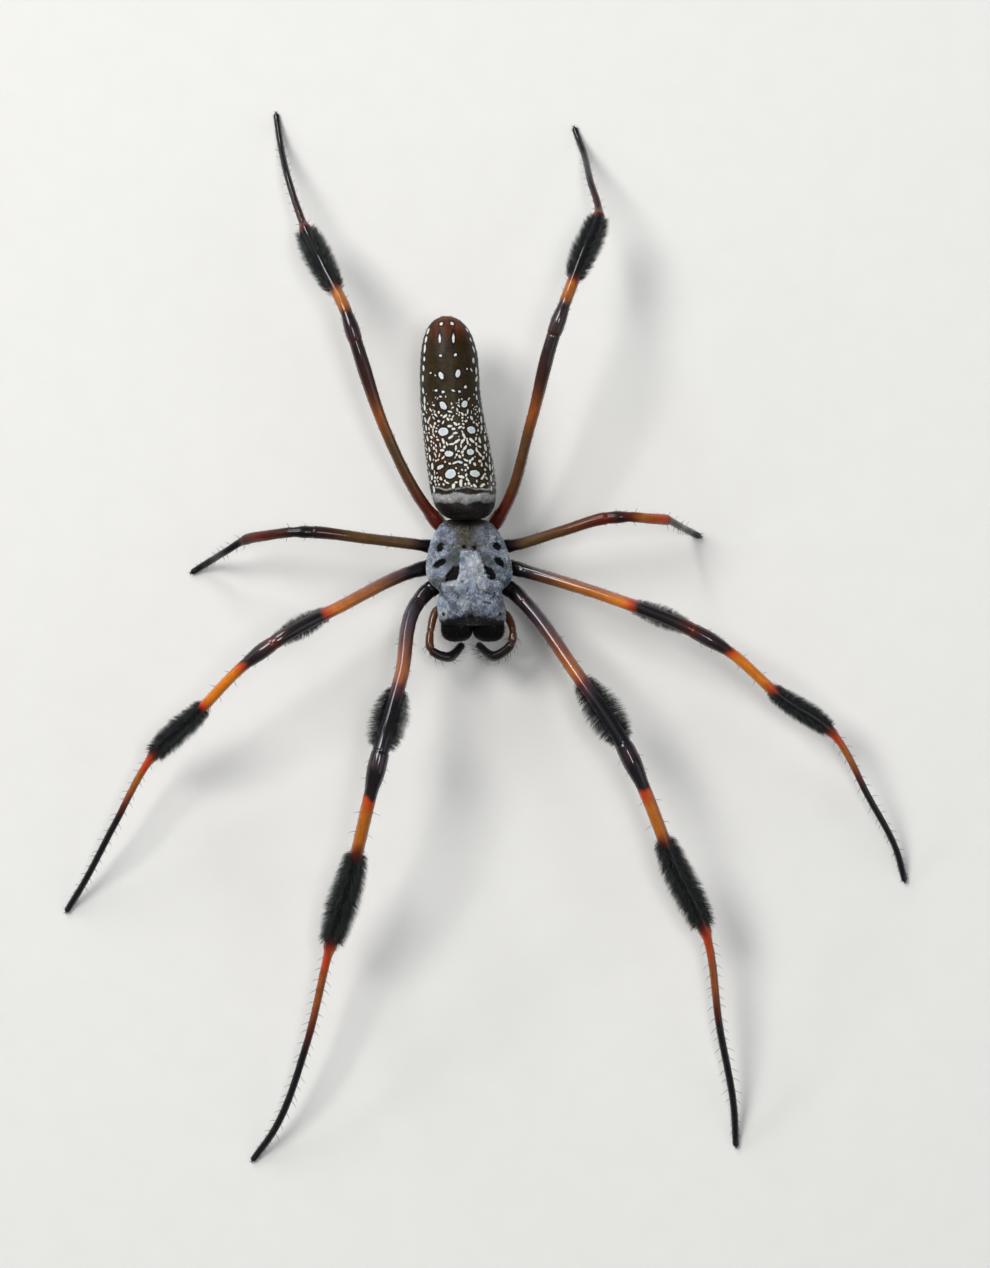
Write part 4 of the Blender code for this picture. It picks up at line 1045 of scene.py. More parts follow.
# carapace: a dome over a narrower sternum, furred silver, with dark pits along its grooves
carapace = {
    # y, half width, top, rim, sternum half width, underside
    "stations": ((1.2, 2.2, 8.5, 8.12, 0.55, 7.95), (1.35, 2.9, 8.95, 8.1, 0.6, 7.8), (1.6, 3.2, 9.7, 7.95, 0.7, 7.6),
                 (2.3, 3.34, 10.7, 7.85, 0.8, 7.4), (3.1, 3.38, 11.15, 7.75, 0.85, 7.2),
                 (3.9, 3.22, 11.3, 7.7, 0.9, 5.6), (4.75, 3.15, 11.15, 7.65, 1.4, 4.75),
                 (5.4, 3.85, 10.9, 7.6, 1.65, 4.55), (6.2, 4.22, 10.65, 7.6, 1.8, 4.45),
                 (7.2, 4.24, 10.4, 7.6, 1.8, 4.45), (8.2, 4.06, 10.25, 7.6, 1.7, 4.5),
                 (9.2, 3.76, 10.1, 7.6, 1.5, 4.6), (10.0, 3.45, 9.85, 7.65, 1.1, 4.85),
                 (10.4, 3.22, 9.65, 7.7, 0.85, 5.4), (10.75, 2.96, 9.42, 7.8, 0.7, 7.4),
                 (11.3, 2.5, 9.08, 7.95, 0.6, 7.6), (11.72, 1.85, 8.66, 8.08, 0.5, 7.7),
                 (11.84, 1.2, 8.45, 8.12, 0.45, 7.8)),
    "rows": 210, "domeSides": 150, "underSides": 60, "square": 0.86,
    # dark pits: out, y, half length, half width, turn
    "pits": ((-2.72, 8.97, 0.47, 0.27, 62), (2.87, 9.12, 0.42, 0.3, 140), (-2.86, 7.42, 0.6, 0.28, 28),
             (3.08, 7.5, 0.54, 0.3, 128), (-0.35, 9.02, 0.19, 0.14, 0), (0.66, 8.92, 0.19, 0.15, 20)),
    # corners of the two wedges in front of them (out, y)
    "wedges": (((-0.97, 7.2), (-1.04, 6.3), (-1.33, 5.8), (-2.36, 5.64), (-2.22, 6.2), (-1.95, 6.55), (-1.62, 6.85),
                (-1.38, 7.18)),
               ((1.46, 7.11), (1.77, 7.16), (2.22, 6.9), (2.6, 6.34), (2.51, 5.82), (2.15, 5.79), (1.81, 6.08),
                (1.55, 6.48))),
    # the raised plate of head and neck: y, left and right edge
    "plate": ((1.9, -3.2, 3.4), (3.4, -3.14, 3.43), (5.35, -2.78, 3.2), (5.58, -2.45, 2.95), (5.8, -1.33, 1.95),
              (6.34, -1.06, 1.69), (7.32, -0.9, 1.41), (8.31, -0.76, 1.09), (8.5, -0.68, 1.0), (8.64, 0.1, 0.2)),
    # furrows as corner points (out, y)
    "furrows": (((-0.75, 8.75), (-1.15, 7.9), (-1.35, 7.1), (-2.3, 5.85), (-2.95, 5.05)),
                ((0.95, 8.75), (1.25, 7.95), (1.55, 7.2), (2.55, 5.95), (3.2, 5.2)),
                ((-1.1, 8.4), (-2.0, 7.75), (-3.4, 7.1)), ((1.2, 8.4), (2.2, 7.8), (3.6, 7.2)),
                ((-0.8, 9.2), (-2.0, 9.05), (-3.3, 9.25)), ((1.0, 9.2), (2.1, 9.15), (3.3, 9.35))),
    # dark cracks in the felt of the head (out, y)
    "cracks": (((-2.95, 4.8), (-2.72, 4.25), (-2.38, 3.74), (-1.92, 3.39)), ((0.62, 5.45), (0.74, 4.9)),
               ((1.15, 4.95), (1.5, 4.5), (1.95, 4.36)), ((-0.12, 4.95), (-0.4, 4.45)),
               ((-1.7, 4.7), (-1.2, 4.25), (-1.28, 3.85)), ((-0.75, 3.95), (-0.2, 3.8)),
               ((2.25, 4.95), (2.42, 4.45), (2.15, 4.0)), ((0.35, 4.15), (0.9, 3.9)), ((-0.05, 3.45), (-0.05, 2.8)),
               ((1.25, 3.55), (1.95, 3.45))),
    # heights of: raised plate, cracks, furrows, pits, hollow behind, coarse and fine ripples, knobs under the side eyes
    "heights": (0.34, -0.09, -0.09, -0.26, -0.16, 0.05, 0.03, 0.14),
    # shades of the felt's patches and how often each comes; where the bare front ends
    "patches": 620, "patchShades": (0.52, 0.80, 1.0, 1.25, 1.55), "patchShares": (0.20, 0.22, 0.22, 0.20, 0.16),
    "frontFrom": 2.46,
    # two layers of felt: clumps, hairs in each, spread across and along, length, radius, rise in degrees
    "felt": {"carapaceDown": (3800, 5, 0.080, 0.080, 0.16, 0.015, 8),
             "carapaceFelt": (2300, 8, 0.060, 0.100, 0.23, 0.0145, 12)},
    # where the felt is brighter or duller, partly its own tone and partly painted light and shade (lighter at the left
    # margin, darker beside the raised neck): out, y, half length, half width, turn, gain
    "glows": ((-3.75, 8.3, 2.3, 0.5, 78, 0.6), (-3.9, 6.4, 0.9, 0.45, 85, 0.35), (3.75, 8.6, 2.0, 0.42, 104, 0.25),
              (1.32, 7.1, 1.4, 0.22, 109, 0.5), (-0.82, 7.1, 1.35, 0.2, 77, 0.4), (0.25, 6.7, 1.9, 0.95, 90, 0.6),
              (-2.1, 5.32, 0.75, 0.2, 0, 1.0), (2.6, 5.32, 0.7, 0.2, 0, 0.75), (-2.85, 2.75, 0.95, 0.5, 70, 0.9),
              (0.6, 5.1, 0.3, 0.45, 90, 0.45), (1.3, 3.3, 1.2, 0.22, 5, 0.2), (-1.1, 3.5, 0.9, 0.2, 170, 0.15),
              (-1.65, 7.75, 0.8, 0.5, 25, -0.8), (2.0, 7.75, 0.8, 0.5, 155, -0.7), (-3.45, 5.55, 0.8, 0.5, 20, -0.7),
              (3.75, 5.45, 0.65, 0.45, 160, -0.6), (-1.6, 8.9, 0.6, 0.3, 0, -0.3), (0.05, 10.2, 1.3, 1.3, 90, -0.35),
              (0.75, 4.75, 0.5, 0.11, 80, -0.6), (1.6, 4.5, 0.55, 0.18, 30, -0.45),
              (-1.2, 4.35, 0.6, 0.16, 150, -0.45), (-2.45, 4.05, 0.8, 0.1, 152, -0.7),
              (-0.1, 3.2, 0.35, 0.12, 90, -0.4)),
}
carapaceColours = {
    "skin": (0.150, 0.165, 0.200), "crack": (0.020, 0.021, 0.026), "furrow": (0.050, 0.062, 0.048),
    # behind is a painted shadow close under the abdomen's front edge
    "olive": (0.055, 0.045, 0.024), "behind": (0.010, 0.007, 0.006), "bare": (0.0025, 0.002, 0.003),
    "under": (0.030, 0.016, 0.013),
    # the felt: its two tones, then over the olive patch, in the painted shadow behind, over bare places and in shaded
    # hollows
    "felt": ((0.35, 0.46, 0.72), (0.52, 0.58, 0.70)), "feltOlive": (0.13, 0.115, 0.070),
    "feltBehind": (0.030, 0.024, 0.018), "feltBare": (0.03, 0.03, 0.035), "feltHollow": (0.15, 0.19, 0.15),
}
carapaceSkin = {"grainAround": 60.0, "grainAlong": 50.0, "mottleScale": 1500.0, "mottle": 0.12, "streak": 0.2,
                "roughness": 0.36, "coat": 0.03, "gloss": 0.10, "pitScale": 5200.0, "bump": 0.6}


def feltGlow(x, y):
    # the felt's brightness, partly painted light and shade: one plus each glow's gain times
    # exp(-(u / long)^2 - (v / wide)^2) on its own turned axes, from 0.25 to 2
    total = np.ones(np.shape(x))
    for cx, cy, long, wide, turn, gain in carapace["glows"]:
        u, v = turnedPlace(x, y, cx, cy, turn)
        total = total + gain * np.exp(-(u / long) ** 2 - (v / wide) ** 2)
    return np.clip(total, 0.25, 2.0)


def patchTone(points):
    # each place takes the chance shade of the nearest of many scattered spots, as matted felt does
    count = carapace["patches"]
    spots = np.random.default_rng(5).uniform((-6.2, 1.0), (2.8, 12.0), (count, 2))
    shades = np.random.default_rng(6).choice(carapace["patchShades"], count, p=carapace["patchShares"])
    plan = points[..., :2].reshape(-1, 2)
    nearest = [((block[:, None] - spots) ** 2).sum(-1).argmin(1) for block in np.array_split(plan, 40)]
    return shades[np.concatenate(nearest)].reshape(points.shape[:-1])


def crackDepth(x, y):
    # 1 on a crack, fading to 0 at 0.13 mm from it
    return np.max([1 - smoothStep(toLine(x, y, line), 0.02, 0.13) for line in carapace["cracks"]], axis=0)


def neckLightAndShadow(plate, y):
    # the neck lighter inside its raised edge, partly painted light, and a painted shadow just outside the edge
    along = smoothStep(y, 5.0, 5.6) * (1 - smoothStep(y, 8.50, 8.80))
    return 1 + along * (0.30 * smoothStep(plate, -0.04, 0.10) - 0.42 * bell(plate, -0.22, 0.20))


def carapaceShades(points, margin=0.0):
    # 0 to 1 strengths at a place seen from above: pits, furrows, olive patch behind, bare black front, shade close
    # under the abdomen; and the distance inside the raised plate's edge; margin widens the pits
    x, y = points[..., 0] - headAxis(points[..., 1]), points[..., 1]
    plateY, plateLeft, plateRight = np.array(carapace["plate"]).T
    plate = np.minimum(x - np.interp(y, plateY, plateLeft), np.interp(y, plateY, plateRight) - x)
    # painted shadow close under the abdomen's front edge
    behind = smoothStep(y + 0.12 * wave(points, 3.0), 10.75, 11.35) * bell(x, -0.1, 2.1)
    x = x + 0.05 * wave(points, 3.1) + 0.045 * wave(points, 10.0, 3.0)
    y = y + 0.05 * wave(points, 2.7, 5.0) + 0.045 * wave(points, 9.0, 8.0)
    away = np.min([toOval(x, y, spot) for spot in carapace["pits"]]
                  + [toPolygon(x, y, wedge) for wedge in carapace["wedges"]], axis=0)
    pit = 1 - smoothStep(away, margin + 0.01, margin + 0.08)
    furrow = np.max([1 - smoothStep(toLine(x, y, line), 0.02, 0.42) for line in carapace["furrows"]], axis=0)
    olive = bell(x, -0.1, 1.45 + 0.1 * (y - 10)) * smoothStep(y, 8.56, 8.82)
    olive = np.clip(olive + 0.8 * bell(x, 0, 2.2) * smoothStep(y, 10.8, 11.5), 0, 1)
    edge = carapace["frontFrom"]
    front = 1 - smoothStep(y + 0.20 * np.abs(x) - 0.06 * bell(x, 0, 0.5), edge - 0.30, edge + 0.30)
    return {"pit": pit, "furrow": furrow, "olive": olive, "front": front, "behind": behind, "plate": plate}


def carapaceRings():
    # ring: x = half sin^p, z = rim + (top - rim) cos^p over the dome, then in under the rim and down to the sternum;
    # gives the rings, the way along them, x from the middle line, each ring's half width and rim height
    path = smoothPath(carapace["stations"])
    s = np.linspace(0, path["along"][-1], carapace["rows"])
    y, half, top, rim, sternum, under = pathPoint(path, s).T[..., None]
    t = np.linspace(-1, 1, carapace["domeSides"]) * math.pi / 2
    p = carapace["square"]
    domeX = half * bulge(np.sin(t), p)
    domeZ = rim + (top - rim) * np.maximum(np.cos(t), 0) ** p
    floor = np.minimum(under, rim - 0.35)
    # the corners from the rim to the middle of the sternum, and how far along each one comes
    steps = (0.0, 0.5, 1.0, 1.35, 2.0, 3.2, 4.4, 5.6)
    cornerX = np.concatenate([half * share for share in (1, 0.985, 0.90)]
                             + [sternum * share for share in (1.20, 1.06, 1.0, 0.78, 0.0)], axis=1)
    cornerZ = np.concatenate([rim - drop for drop in (0, 0.12, 0.22, 0.28, 0.40)]
                             + [floor + 0.35 * (rim - 0.28 - floor), floor + 0.07, floor], axis=1)
    place = np.linspace(0, 2 * steps[-1], carapace["underSides"] + 2)[1:-1]
    at = steps[-1] - np.abs(place - steps[-1])
    lowerX = np.stack([np.interp(at, steps, row) for row in cornerX]) * np.sign(steps[-1] - place)
    lowerZ = np.stack([np.interp(at, steps, row) for row in cornerZ])
    x, z = np.concatenate([domeX, lowerX], axis=1), np.concatenate([domeZ, lowerZ], axis=1)
    domeShare = np.concatenate([np.cos(t) ** 0.5, np.zeros(carapace["underSides"])])[None, :]
    return np.stack([headAxis(y) + x, np.broadcast_to(y, x.shape), z], -1), s, x, half, rim, domeShare


def carapaceTint(rings, x, shades, crack):
    # bluish grey skin times the glow and the neck's tone, which hold painted light and shade, darker in cracks and
    # furrows, olive behind, painted shadow close under the abdomen, black in pits and front
    colours = carapaceColours
    y = rings[..., 1]
    # painted light and shade: the glow and the neck's tone
    glow = feltGlow(x, y) * neckLightAndShadow(shades["plate"], y) * patchTone(rings) ** 0.6
    skin = np.array(colours["skin"]) * (glow * (0.85 + 0.3 * wave(rings, 3.3)))[..., None]
    # behind is painted shadow close under the abdomen
    for name, share in (("crack", 0.85 * crack), ("furrow", 0.75 * shades["furrow"]), ("olive", 0.85 * shades["olive"]),
                        ("behind", 0.95 * shades["behind"]),
                        ("bare", np.maximum(shades["pit"], shades["front"]) * 0.985)):
        skin = blend(skin, colours[name], share)
    return skin


def makeCarapace(hairShade):
    # raised plate and neck, cracks, furrows and pits pressed into the dome, then the skin and the felt on it
    rings, s, x, half, rim, domeShare = carapaceRings()
    y, z = rings[..., 1], rings[..., 2].copy()
    shades = carapaceShades(rings)
    crack = crackDepth(x, y)
    raised = smoothStep(shades["plate"], -0.12, 0.12) * smoothStep(y, 2.0, 3.4)
    hollow = bell(x, 0.05, 0.35) * bell(y, 9.3, 0.75)
    eyeKnob = bell(np.abs(x), 2.62, 0.5) * bell(y, 2.15, 0.5)
    forms = (raised, crack, shades["furrow"], shades["pit"], hollow, wave(rings, 2.1), wave(rings, 5.2, 2.0), eyeKnob)
    relief = sum(height * form for height, form in zip(carapace["heights"], forms))
    rings[..., 2] += relief * domeShare * smoothStep(half, 1.6, 2.9) * np.clip((z - rim) * 1.5, 0, 1)
    skin = carapaceTint(rings, x, shades, crack)
    skin = blend(skin, carapaceColours["under"], np.clip((rim - z) * 4, 0, 0.9))
    across = np.broadcast_to(np.arange(x.shape[1]) / x.shape[1], x.shape)
    uv = np.stack([across, np.broadcast_to(s[:, None] / s[-1], x.shape)], -1)
    dull = np.where(shades["front"] > 0.5, 0.5, 0.9)
    piece = tubePiece("carapaceSkin", rings, {"tint": skin, "dull": dull}, uv)
    finishPiece(piece, cuticleMaterial("carapaceCuticle", carapaceSkin), ["cephalothorax"])

    def wanted(centre):
        # where felt grows: on top only, sparse over pits, front and olive patch, with narrow cracks
        shades = carapaceShades(centre, 0.07)
        onTop = smoothStep(centre[..., 2], rim.mean() - 0.1, rim.mean() + 0.15)
        bare = shades["pit"] * 1.2 + shades["front"] * 0.985 + 0.60 * shades["olive"] + 0.9 * shades["behind"]
        crack = crackDepth(centre[..., 0] - headAxis(centre[..., 1]), centre[..., 1])
        return onTop * (1 - np.clip(bare, 0, 0.995)) * (1 - 0.85 * crack)

    for name, layer in carapace["felt"].items():
        layFelt(name, rings, wanted, layer, hairShade)


def layFelt(name, rings, wanted, layer, hairShade):
    # clumps of flat hairs that share a lie and a brightness: dull, plain or bright by chance, times the glow there and
    # the neck's tone, both partly painted light and shade; painted shadow close under the abdomen
    wisps, each, across, along, reach, radius, rise = layer
    root, normal, unwrap = scatterOn(rings, wisps, wanted)
    x, y = root[:, 0] - headAxis(root[:, 1]), root[:, 1]
    away = np.stack([x, y - 8.6, np.zeros(wisps)], -1)
    ahead = np.stack([0.35 * x, -np.ones(wisps), np.zeros(wisps)], -1)
    lie = unit(np.where((y < 5.4)[:, None], ahead, away)) + chance.normal(0, 0.42, (wisps, 3))
    sideways = unit(np.cross(normal, lie))
    shades = carapaceShades(root)
    glow = feltGlow(x, y)
    # painted light and shade: the glow and the neck's tone
    bright = patchTone(root) * chance.uniform(0.75, 1.25, wisps) * glow * neckLightAndShadow(shades["plate"], y)
    bright = bright * (1 + 0.15 * wave(root, 4.1, 9.0))
    warm = np.clip(0.5 + 0.8 * wave(root, 1.3, 4.0) + chance.normal(0, 0.2, wisps), 0, 1)[:, None]
    blue, grey = np.array(carapaceColours["felt"])
    colour = (blue * warm + grey * (1 - warm)) * bright[:, None]
    # feltBehind is painted shadow close under the abdomen
    for tone, share in (("feltOlive", 0.75 * shades["olive"]), ("feltBehind", 0.9 * shades["behind"]),
                        ("feltBare", np.clip(0.9 * shades["front"] + 0.9 * shades["pit"], 0, 1)),
                        ("feltHollow", 0.75 * np.clip((1 - glow) * 1.6 + 0.3 * shades["furrow"], 0, 1))):
        colour = blend(colour, carapaceColours[tone], share)
    repeat = np.repeat(np.arange(wisps), each)
    count = len(repeat)
    spread = sideways[repeat] * chance.normal(0, across, (count, 1))
    spread = spread + unit(lie)[repeat] * chance.normal(0, along, (count, 1))
    spread -= normal[repeat] * dot(spread, normal[repeat])[:, None]
    length = reach * chance.uniform(0.75, 1.3, count)
    tint = np.clip(colour[repeat] * chance.uniform(0.75, 1.2, (count, 1)), 0, 0.95)
    flow = lie[repeat] + chance.normal(0, 0.12, (count, 3))
    piece = hairPiece(name, root[repeat] + spread, normal[repeat], flow, length, radius,
                      np.radians(chance.normal(rise, 6, count)), np.radians(16), tint * 0.8,
                      np.clip(tint * 1.15, 0, 0.97), unwrap[repeat], rings=2, flat=0.35)
    finishPiece(piece, hairShade)


# eyes, jaws, fangs and feelers
face = {
    # eyes of one side: out, y, height
    "eyes": ((0.42, 1.58, 9.35), (0.46, 2.02, 10.15), (2.62, 1.92, 9.15), (2.72, 2.45, 9.75)), "eyeRadius": 0.26,
    # jaw rings from the top down: height, y, half width, half depth
    "jaw": ((7.66, 1.3, 0.7, 0.55), (7.55, 1.24, 1.1, 0.86), (7.25, 1.08, 1.4, 1.16), (6.6, 0.98, 1.51, 1.34),
            (5.6, 1.02, 1.5, 1.28), (4.6, 1.15, 1.32, 1.1), (3.8, 1.28, 1.02, 0.9), (3.35, 1.35, 0.7, 0.66),
            (3.22, 1.38, 0.36, 0.36)),
    "jawOut": 1.65, "jawSquare": 0.78, "jawInner": 0.085, "jawBlack": (0.005, 0.0045, 0.005),
    "jawRed": (0.055, 0.012, 0.008), "fangRoot": (0.030, 0.008, 0.006), "fangTip": (0.004, 0.003, 0.003),
    "jawFur": {"count": 620, "lengths": (0.25, 0.6), "radius": 0.013, "rise": (32, 8), "bend": 18,
               "tones": ((0.010, 0.008, 0.007), (0.035, 0.026, 0.018))},
    # fang and feelers: out, y, height
    "fang": ((1.6, 1.32, 3.05), (1.5, 1.15, 2.6), (1.0, 1.05, 2.38), (0.42, 1.15, 2.45)),
    "fangRadii": (0.34, 0.30, 0.22, 0.07),
    "palps": {"left": ((1.15, 3.35, 5.2), (3.25, 2.50, 5.9), (3.95, 1.00, 6.4), (3.80, -0.45, 6.5),
                       (2.05, -1.80, 5.7), (0.35, -0.62, 3.7)),
              "right": ((1.15, 3.35, 5.2), (3.35, 2.90, 5.9), (4.15, 1.00, 6.3), (4.25, -1.15, 6.5),
                        (2.70, -1.90, 5.7), (1.05, -0.62, 3.8))},
    "palpRadii": (0.40, 0.43, 0.37, 0.44, 0.45, 0.36),
    # feeler hair: how many, the share of bristles, then lengths, rises and radii of bristles and of fine hairs
    "palpFur": {"count": 900, "bristleShare": 0.30, "lengths": ((0.6, 1.15), (0.16, 0.32)),
                "rises": ((58, 10), (18, 6)), "radii": (0.020, 0.012), "bend": 20},
    "palpTones": ("blackBrown", "olive", "brown", "brown", "blackBrown", "black"),
}


def makeEyes():
    # eight balls: rings of latitude about the outward axis, flattened a little
    rows, sides = 14, 20
    lat = np.linspace(-0.46, 0.46, rows)[:, None] * math.pi
    lon = turns(sides)[None, :]
    ball = np.stack([np.cos(lat) * np.cos(lon), np.sin(lat) + 0 * lon, np.cos(lat) * np.sin(lon)], -1)
    ball = np.vstack([ball.reshape(-1, 3), (0, -1, 0), (0, 1, 0)]) * face["eyeRadius"] * (1.0, 0.92, 1.0)
    quads, tris = gridFaces(rows, sides)
    middles = [(headAxis(y) + side * out, y - 0.04, z) for out, y, z in face["eyes"] for side in (-1, 1)]
    points = np.vstack([ball + middle for middle in middles])
    starts = range(0, len(points), len(ball))
    faces = (np.vstack([block + start for start in starts]) for block in (quads, tris))
    piece = buildMesh("eyes", points, *faceOutward(points, *faces))
    material, tree, shader = newMaterial("eyeLens")
    depth = noise(tree, objectPlace(tree), 2500.0, 2.0)
    plug(tree, shader, {"Base Color": mixColour(tree, depth, (0.003, 0.002, 0.002), (0.014, 0.008, 0.006)),
                        "Roughness": 0.10, "Coat Weight": 0.30, "Coat Roughness": 0.03, "Specular IOR Level": 0.25})
    finishPiece(piece, material)


def makeJaws(skinMaterial, hairShade):
    # stout jaw: oval rings from the top down, flatter on the inner side, swollen in front; a curved tapering fang;
    # short bristles, more of them low down
    sides, fangSides = 56, 24
    for name, side in sideSigns:
        path = smoothPath(face["jaw"])
        s = np.linspace(0, path["along"][-1], 70)
        z, y, half, deep = pathPoint(path, s).T[..., None]
        turn = turns(sides)[None, :]
        across, through = bulge(np.cos(turn), face["jawSquare"]), bulge(np.sin(turn), face["jawSquare"])
        inner = face["jawInner"] * half * np.clip(-side * across, 0, 1)
        rings = np.stack([headAxis(y) + side * face["jawOut"] + half * across - side * inner,
                          y + deep * through, z + 0 * turn], -1)
        low = 0.6 * smoothStep(4.6 - rings[..., 2], 0, 1.2)
        tint = blend(plainTint(face["jawBlack"], rings), face["jawRed"], low)
        piece = tubePiece(f"jaw_{name}", rings, {"tint": tint}, tubeUv(s, sides))
        finishPiece(piece, skinMaterial, [f"chelicera_{name}"])
        fangWay = smoothPath([(headAxis(y) + side * out, y, z) for out, y, z in face["fang"]])
        f = np.linspace(0, fangWay["along"][-1] - 0.002, 40)
        fangRings = ringsAlong(fangWay, f, np.interp(f, fangWay["knots"], face["fangRadii"]), fangSides)
        toTip = (f / f[-1])[:, None] + 0 * turns(fangSides)
        fangTint = blend(plainTint(face["fangRoot"], fangRings), face["fangTip"], toTip)
        fang = tubePiece(f"fangSkin_{name}", fangRings, {"tint": fangTint}, tubeUv(f, fangSides))
        finishPiece(fang, skinMaterial, [f"fang_{name}"])
        count = face["jawFur"]["count"]
        roots, normals, unwrap = scatterOn(rings, count, lambda c: 0.25 + smoothStep(5.2 - c[..., 2], 0, 1.5))
        lie = np.stack([chance.normal(0, 0.2, count), chance.normal(-0.1, 0.2, count), -np.ones(count)], -1)
        hair = furPiece(f"jawHair_{name}", face["jawFur"], roots, normals, lie, *face["jawFur"]["tones"], unwrap)
        finishPiece(hair, hairShade)


def palpTint(s, joints, angle):
    # brown to the bend, then black
    places = (0, joints[1] - 0.4, joints[1] + 0.5, joints[3] - 0.5, joints[3] + 0.25, joints[-1])
    return ramp(s + 0.08 * np.sin(3 * angle), places, [palette[name] for name in face["palpTones"]])


def makePalps(skinMaterial, hairShade):
    # feeler: a tube that narrows at its joints and ends rounded; bristles stand off its outer and front side
    sides, fur = 32, face["palpFur"]
    count = fur["count"]
    for name, side in sideSigns:
        path = smoothPath([(headAxis(y) + side * out, y, z) for out, y, z in face["palps"][name]])
        joints, end = path["knots"], path["along"][-1]
        s = np.linspace(0, end - 0.002, 150)
        radius = np.interp(s, joints, face["palpRadii"])
        for joint, depth in ((joints[1], 0.22), (joints[2] + 0.35, 0.18), (joints[3], 0.26)):
            radius = radius * (1 - depth * bell(s, joint, 0.16))
        radius = radius * (1 + 0.16 * bell(s, (joints[3] + end) / 2, 1.2)) * roundedEnd(s, end, 0.34, 0.99)
        sGrid, aGrid = np.meshgrid(s, turns(sides), indexing="ij")
        piece = tubePiece(f"palp_{name}", ringsAlong(path, s, radius, sides), {"tint": palpTint(sGrid, joints, aGrid)},
                          tubeUv(s, sides))
        finishPiece(piece, skinMaterial, [f"pedipalp_{name}_femur", f"pedipalp_{name}_tarsus"])
        at = joints[1] + (end - joints[1] - 0.05) * chance.random(count)
        turn = chance.uniform(0, fullTurn, count)
        roots, out, ahead = skinPlace(path, at, turn, np.interp(at, s, radius) * 0.97)
        isBristle = (chance.random(count) < fur["bristleShare"] * (at > joints[3] - 0.6)) & (out[:, 1] < 0.2)
        colour = palpTint(at, joints, turn) * 0.7 + 0.006
        length = np.where(isBristle, *(chance.uniform(*row, count) for row in fur["lengths"]))
        rise = np.radians(np.where(isBristle, *(chance.normal(*row, count) for row in fur["rises"])))
        hair = hairPiece(f"palpHair_{name}", roots, out, ahead, length, np.where(isBristle, *fur["radii"]), rise,
                         np.radians(fur["bend"]), colour, colour * 1.6, np.stack([turn / fullTurn, at / end], -1))
        finishPiece(hair, hairShade)


waist = {"ends": ((11.05, 6.60), (12.42, 7.15)), "radius": 0.50, "pinch": 0.07, "ringDepth": 0.015, "ringsPer": 9,
         "colour": (0.045, 0.022, 0.014), "sides": 28}


def makeWaist(skinMaterial):
    # the pedicel: a tube pinched in the middle, with fine rings
    path = smoothPath([(headAxis(y), y, z) for y, z in waist["ends"]])
    s = np.linspace(0, path["along"][-1], 60)
    ripple = np.sin(waist["ringsPer"] * s)
    radius = waist["radius"] - waist["pinch"] * np.sin(math.pi * s / s[-1]) - waist["ringDepth"] * np.abs(ripple)
    rings = ringsAlong(path, s, radius, waist["sides"])
    tint = plainTint(waist["colour"], rings) * (0.8 + 0.4 * ripple[:, None, None] ** 2)
    piece = tubePiece("waist", rings, {"tint": tint}, tubeUv(s, waist["sides"]))
    finishPiece(piece, skinMaterial, ["pedicel"])


spinnerets = {"y": 27.2, "radius": 1.0, "height": 0.55, "mound": (0.055, 0.030, 0.018), "cone": (0.070, 0.036, 0.020),
              # back, out, length, radius
              "pairs": ((-0.42, 0.46, 1.00, 0.36), (0.42, 0.44, 1.05, 0.34), (0.02, 0.22, 0.75, 0.26))}


def bellyHeight(x, y):
    # height of the abdomen's underside: the lower half of its oval ring
    half, tall, centre = abdomenSize(y)
    return centre - tall * np.sqrt(1 - ((x - abdomenAxis(y)) / half) ** 2)


def makeSpinnerets(skinMaterial):
    # a low round mound under the rear with three pairs of blunt two-jointed cones that point down and back
    sides, coneSides = 40, 24
    x0, y0 = abdomenAxis(spinnerets["y"]), spinnerets["y"]
    turn = turns(sides)[None, :]
    depth = np.linspace(0, 1, 24)[:, None]
    share = np.sqrt(1 - (0.97 * depth) ** 2.4)
    x, y = x0 + spinnerets["radius"] * share * np.cos(turn), y0 + spinnerets["radius"] * share * np.sin(turn)
    rings = np.stack([x, y, bellyHeight(x, y) - 0.05 - depth * spinnerets["height"]], -1)
    tint = plainTint(spinnerets["mound"], rings) * (1 + 0.3 * wave(rings, 6.0)[..., None])
    piece = tubePiece("spinneretMound", rings, {"tint": tint}, tubeUv(depth[:, 0] + 0.01, sides))
    finishPiece(piece, skinMaterial, ["spinnerets"])
    top = float(bellyHeight(x0, y0)) - 0.3 - 0.3 * spinnerets["height"]
    for number, (back, out, length, radius) in enumerate(spinnerets["pairs"]):
        for name, side in sideSigns:
            path = smoothPath([(x0 + side * out, y0 + back, top),
                               (x0 + side * out * 0.8, y0 + back + 0.25 * length, top - length)])
            s = np.linspace(0, path["along"][-1], 40)
            t = s / s[-1]
            blunt = np.sqrt(np.clip(1.02 - t ** 10, 0.02, 1))
            width = radius * (1 - 0.62 * t ** 1.6) * (1 - 0.16 * bell(t, 0.62, 0.06)) * blunt
            cone = ringsAlong(path, s, width, coneSides)
            coneTint = plainTint(spinnerets["cone"], cone) * (1.2 - 0.7 * t[:, None, None])
            part = tubePiece(f"spinneret_{number + 1}_{name}", cone, {"tint": coneTint}, tubeUv(s, coneSides))
            finishPiece(part, skinMaterial)


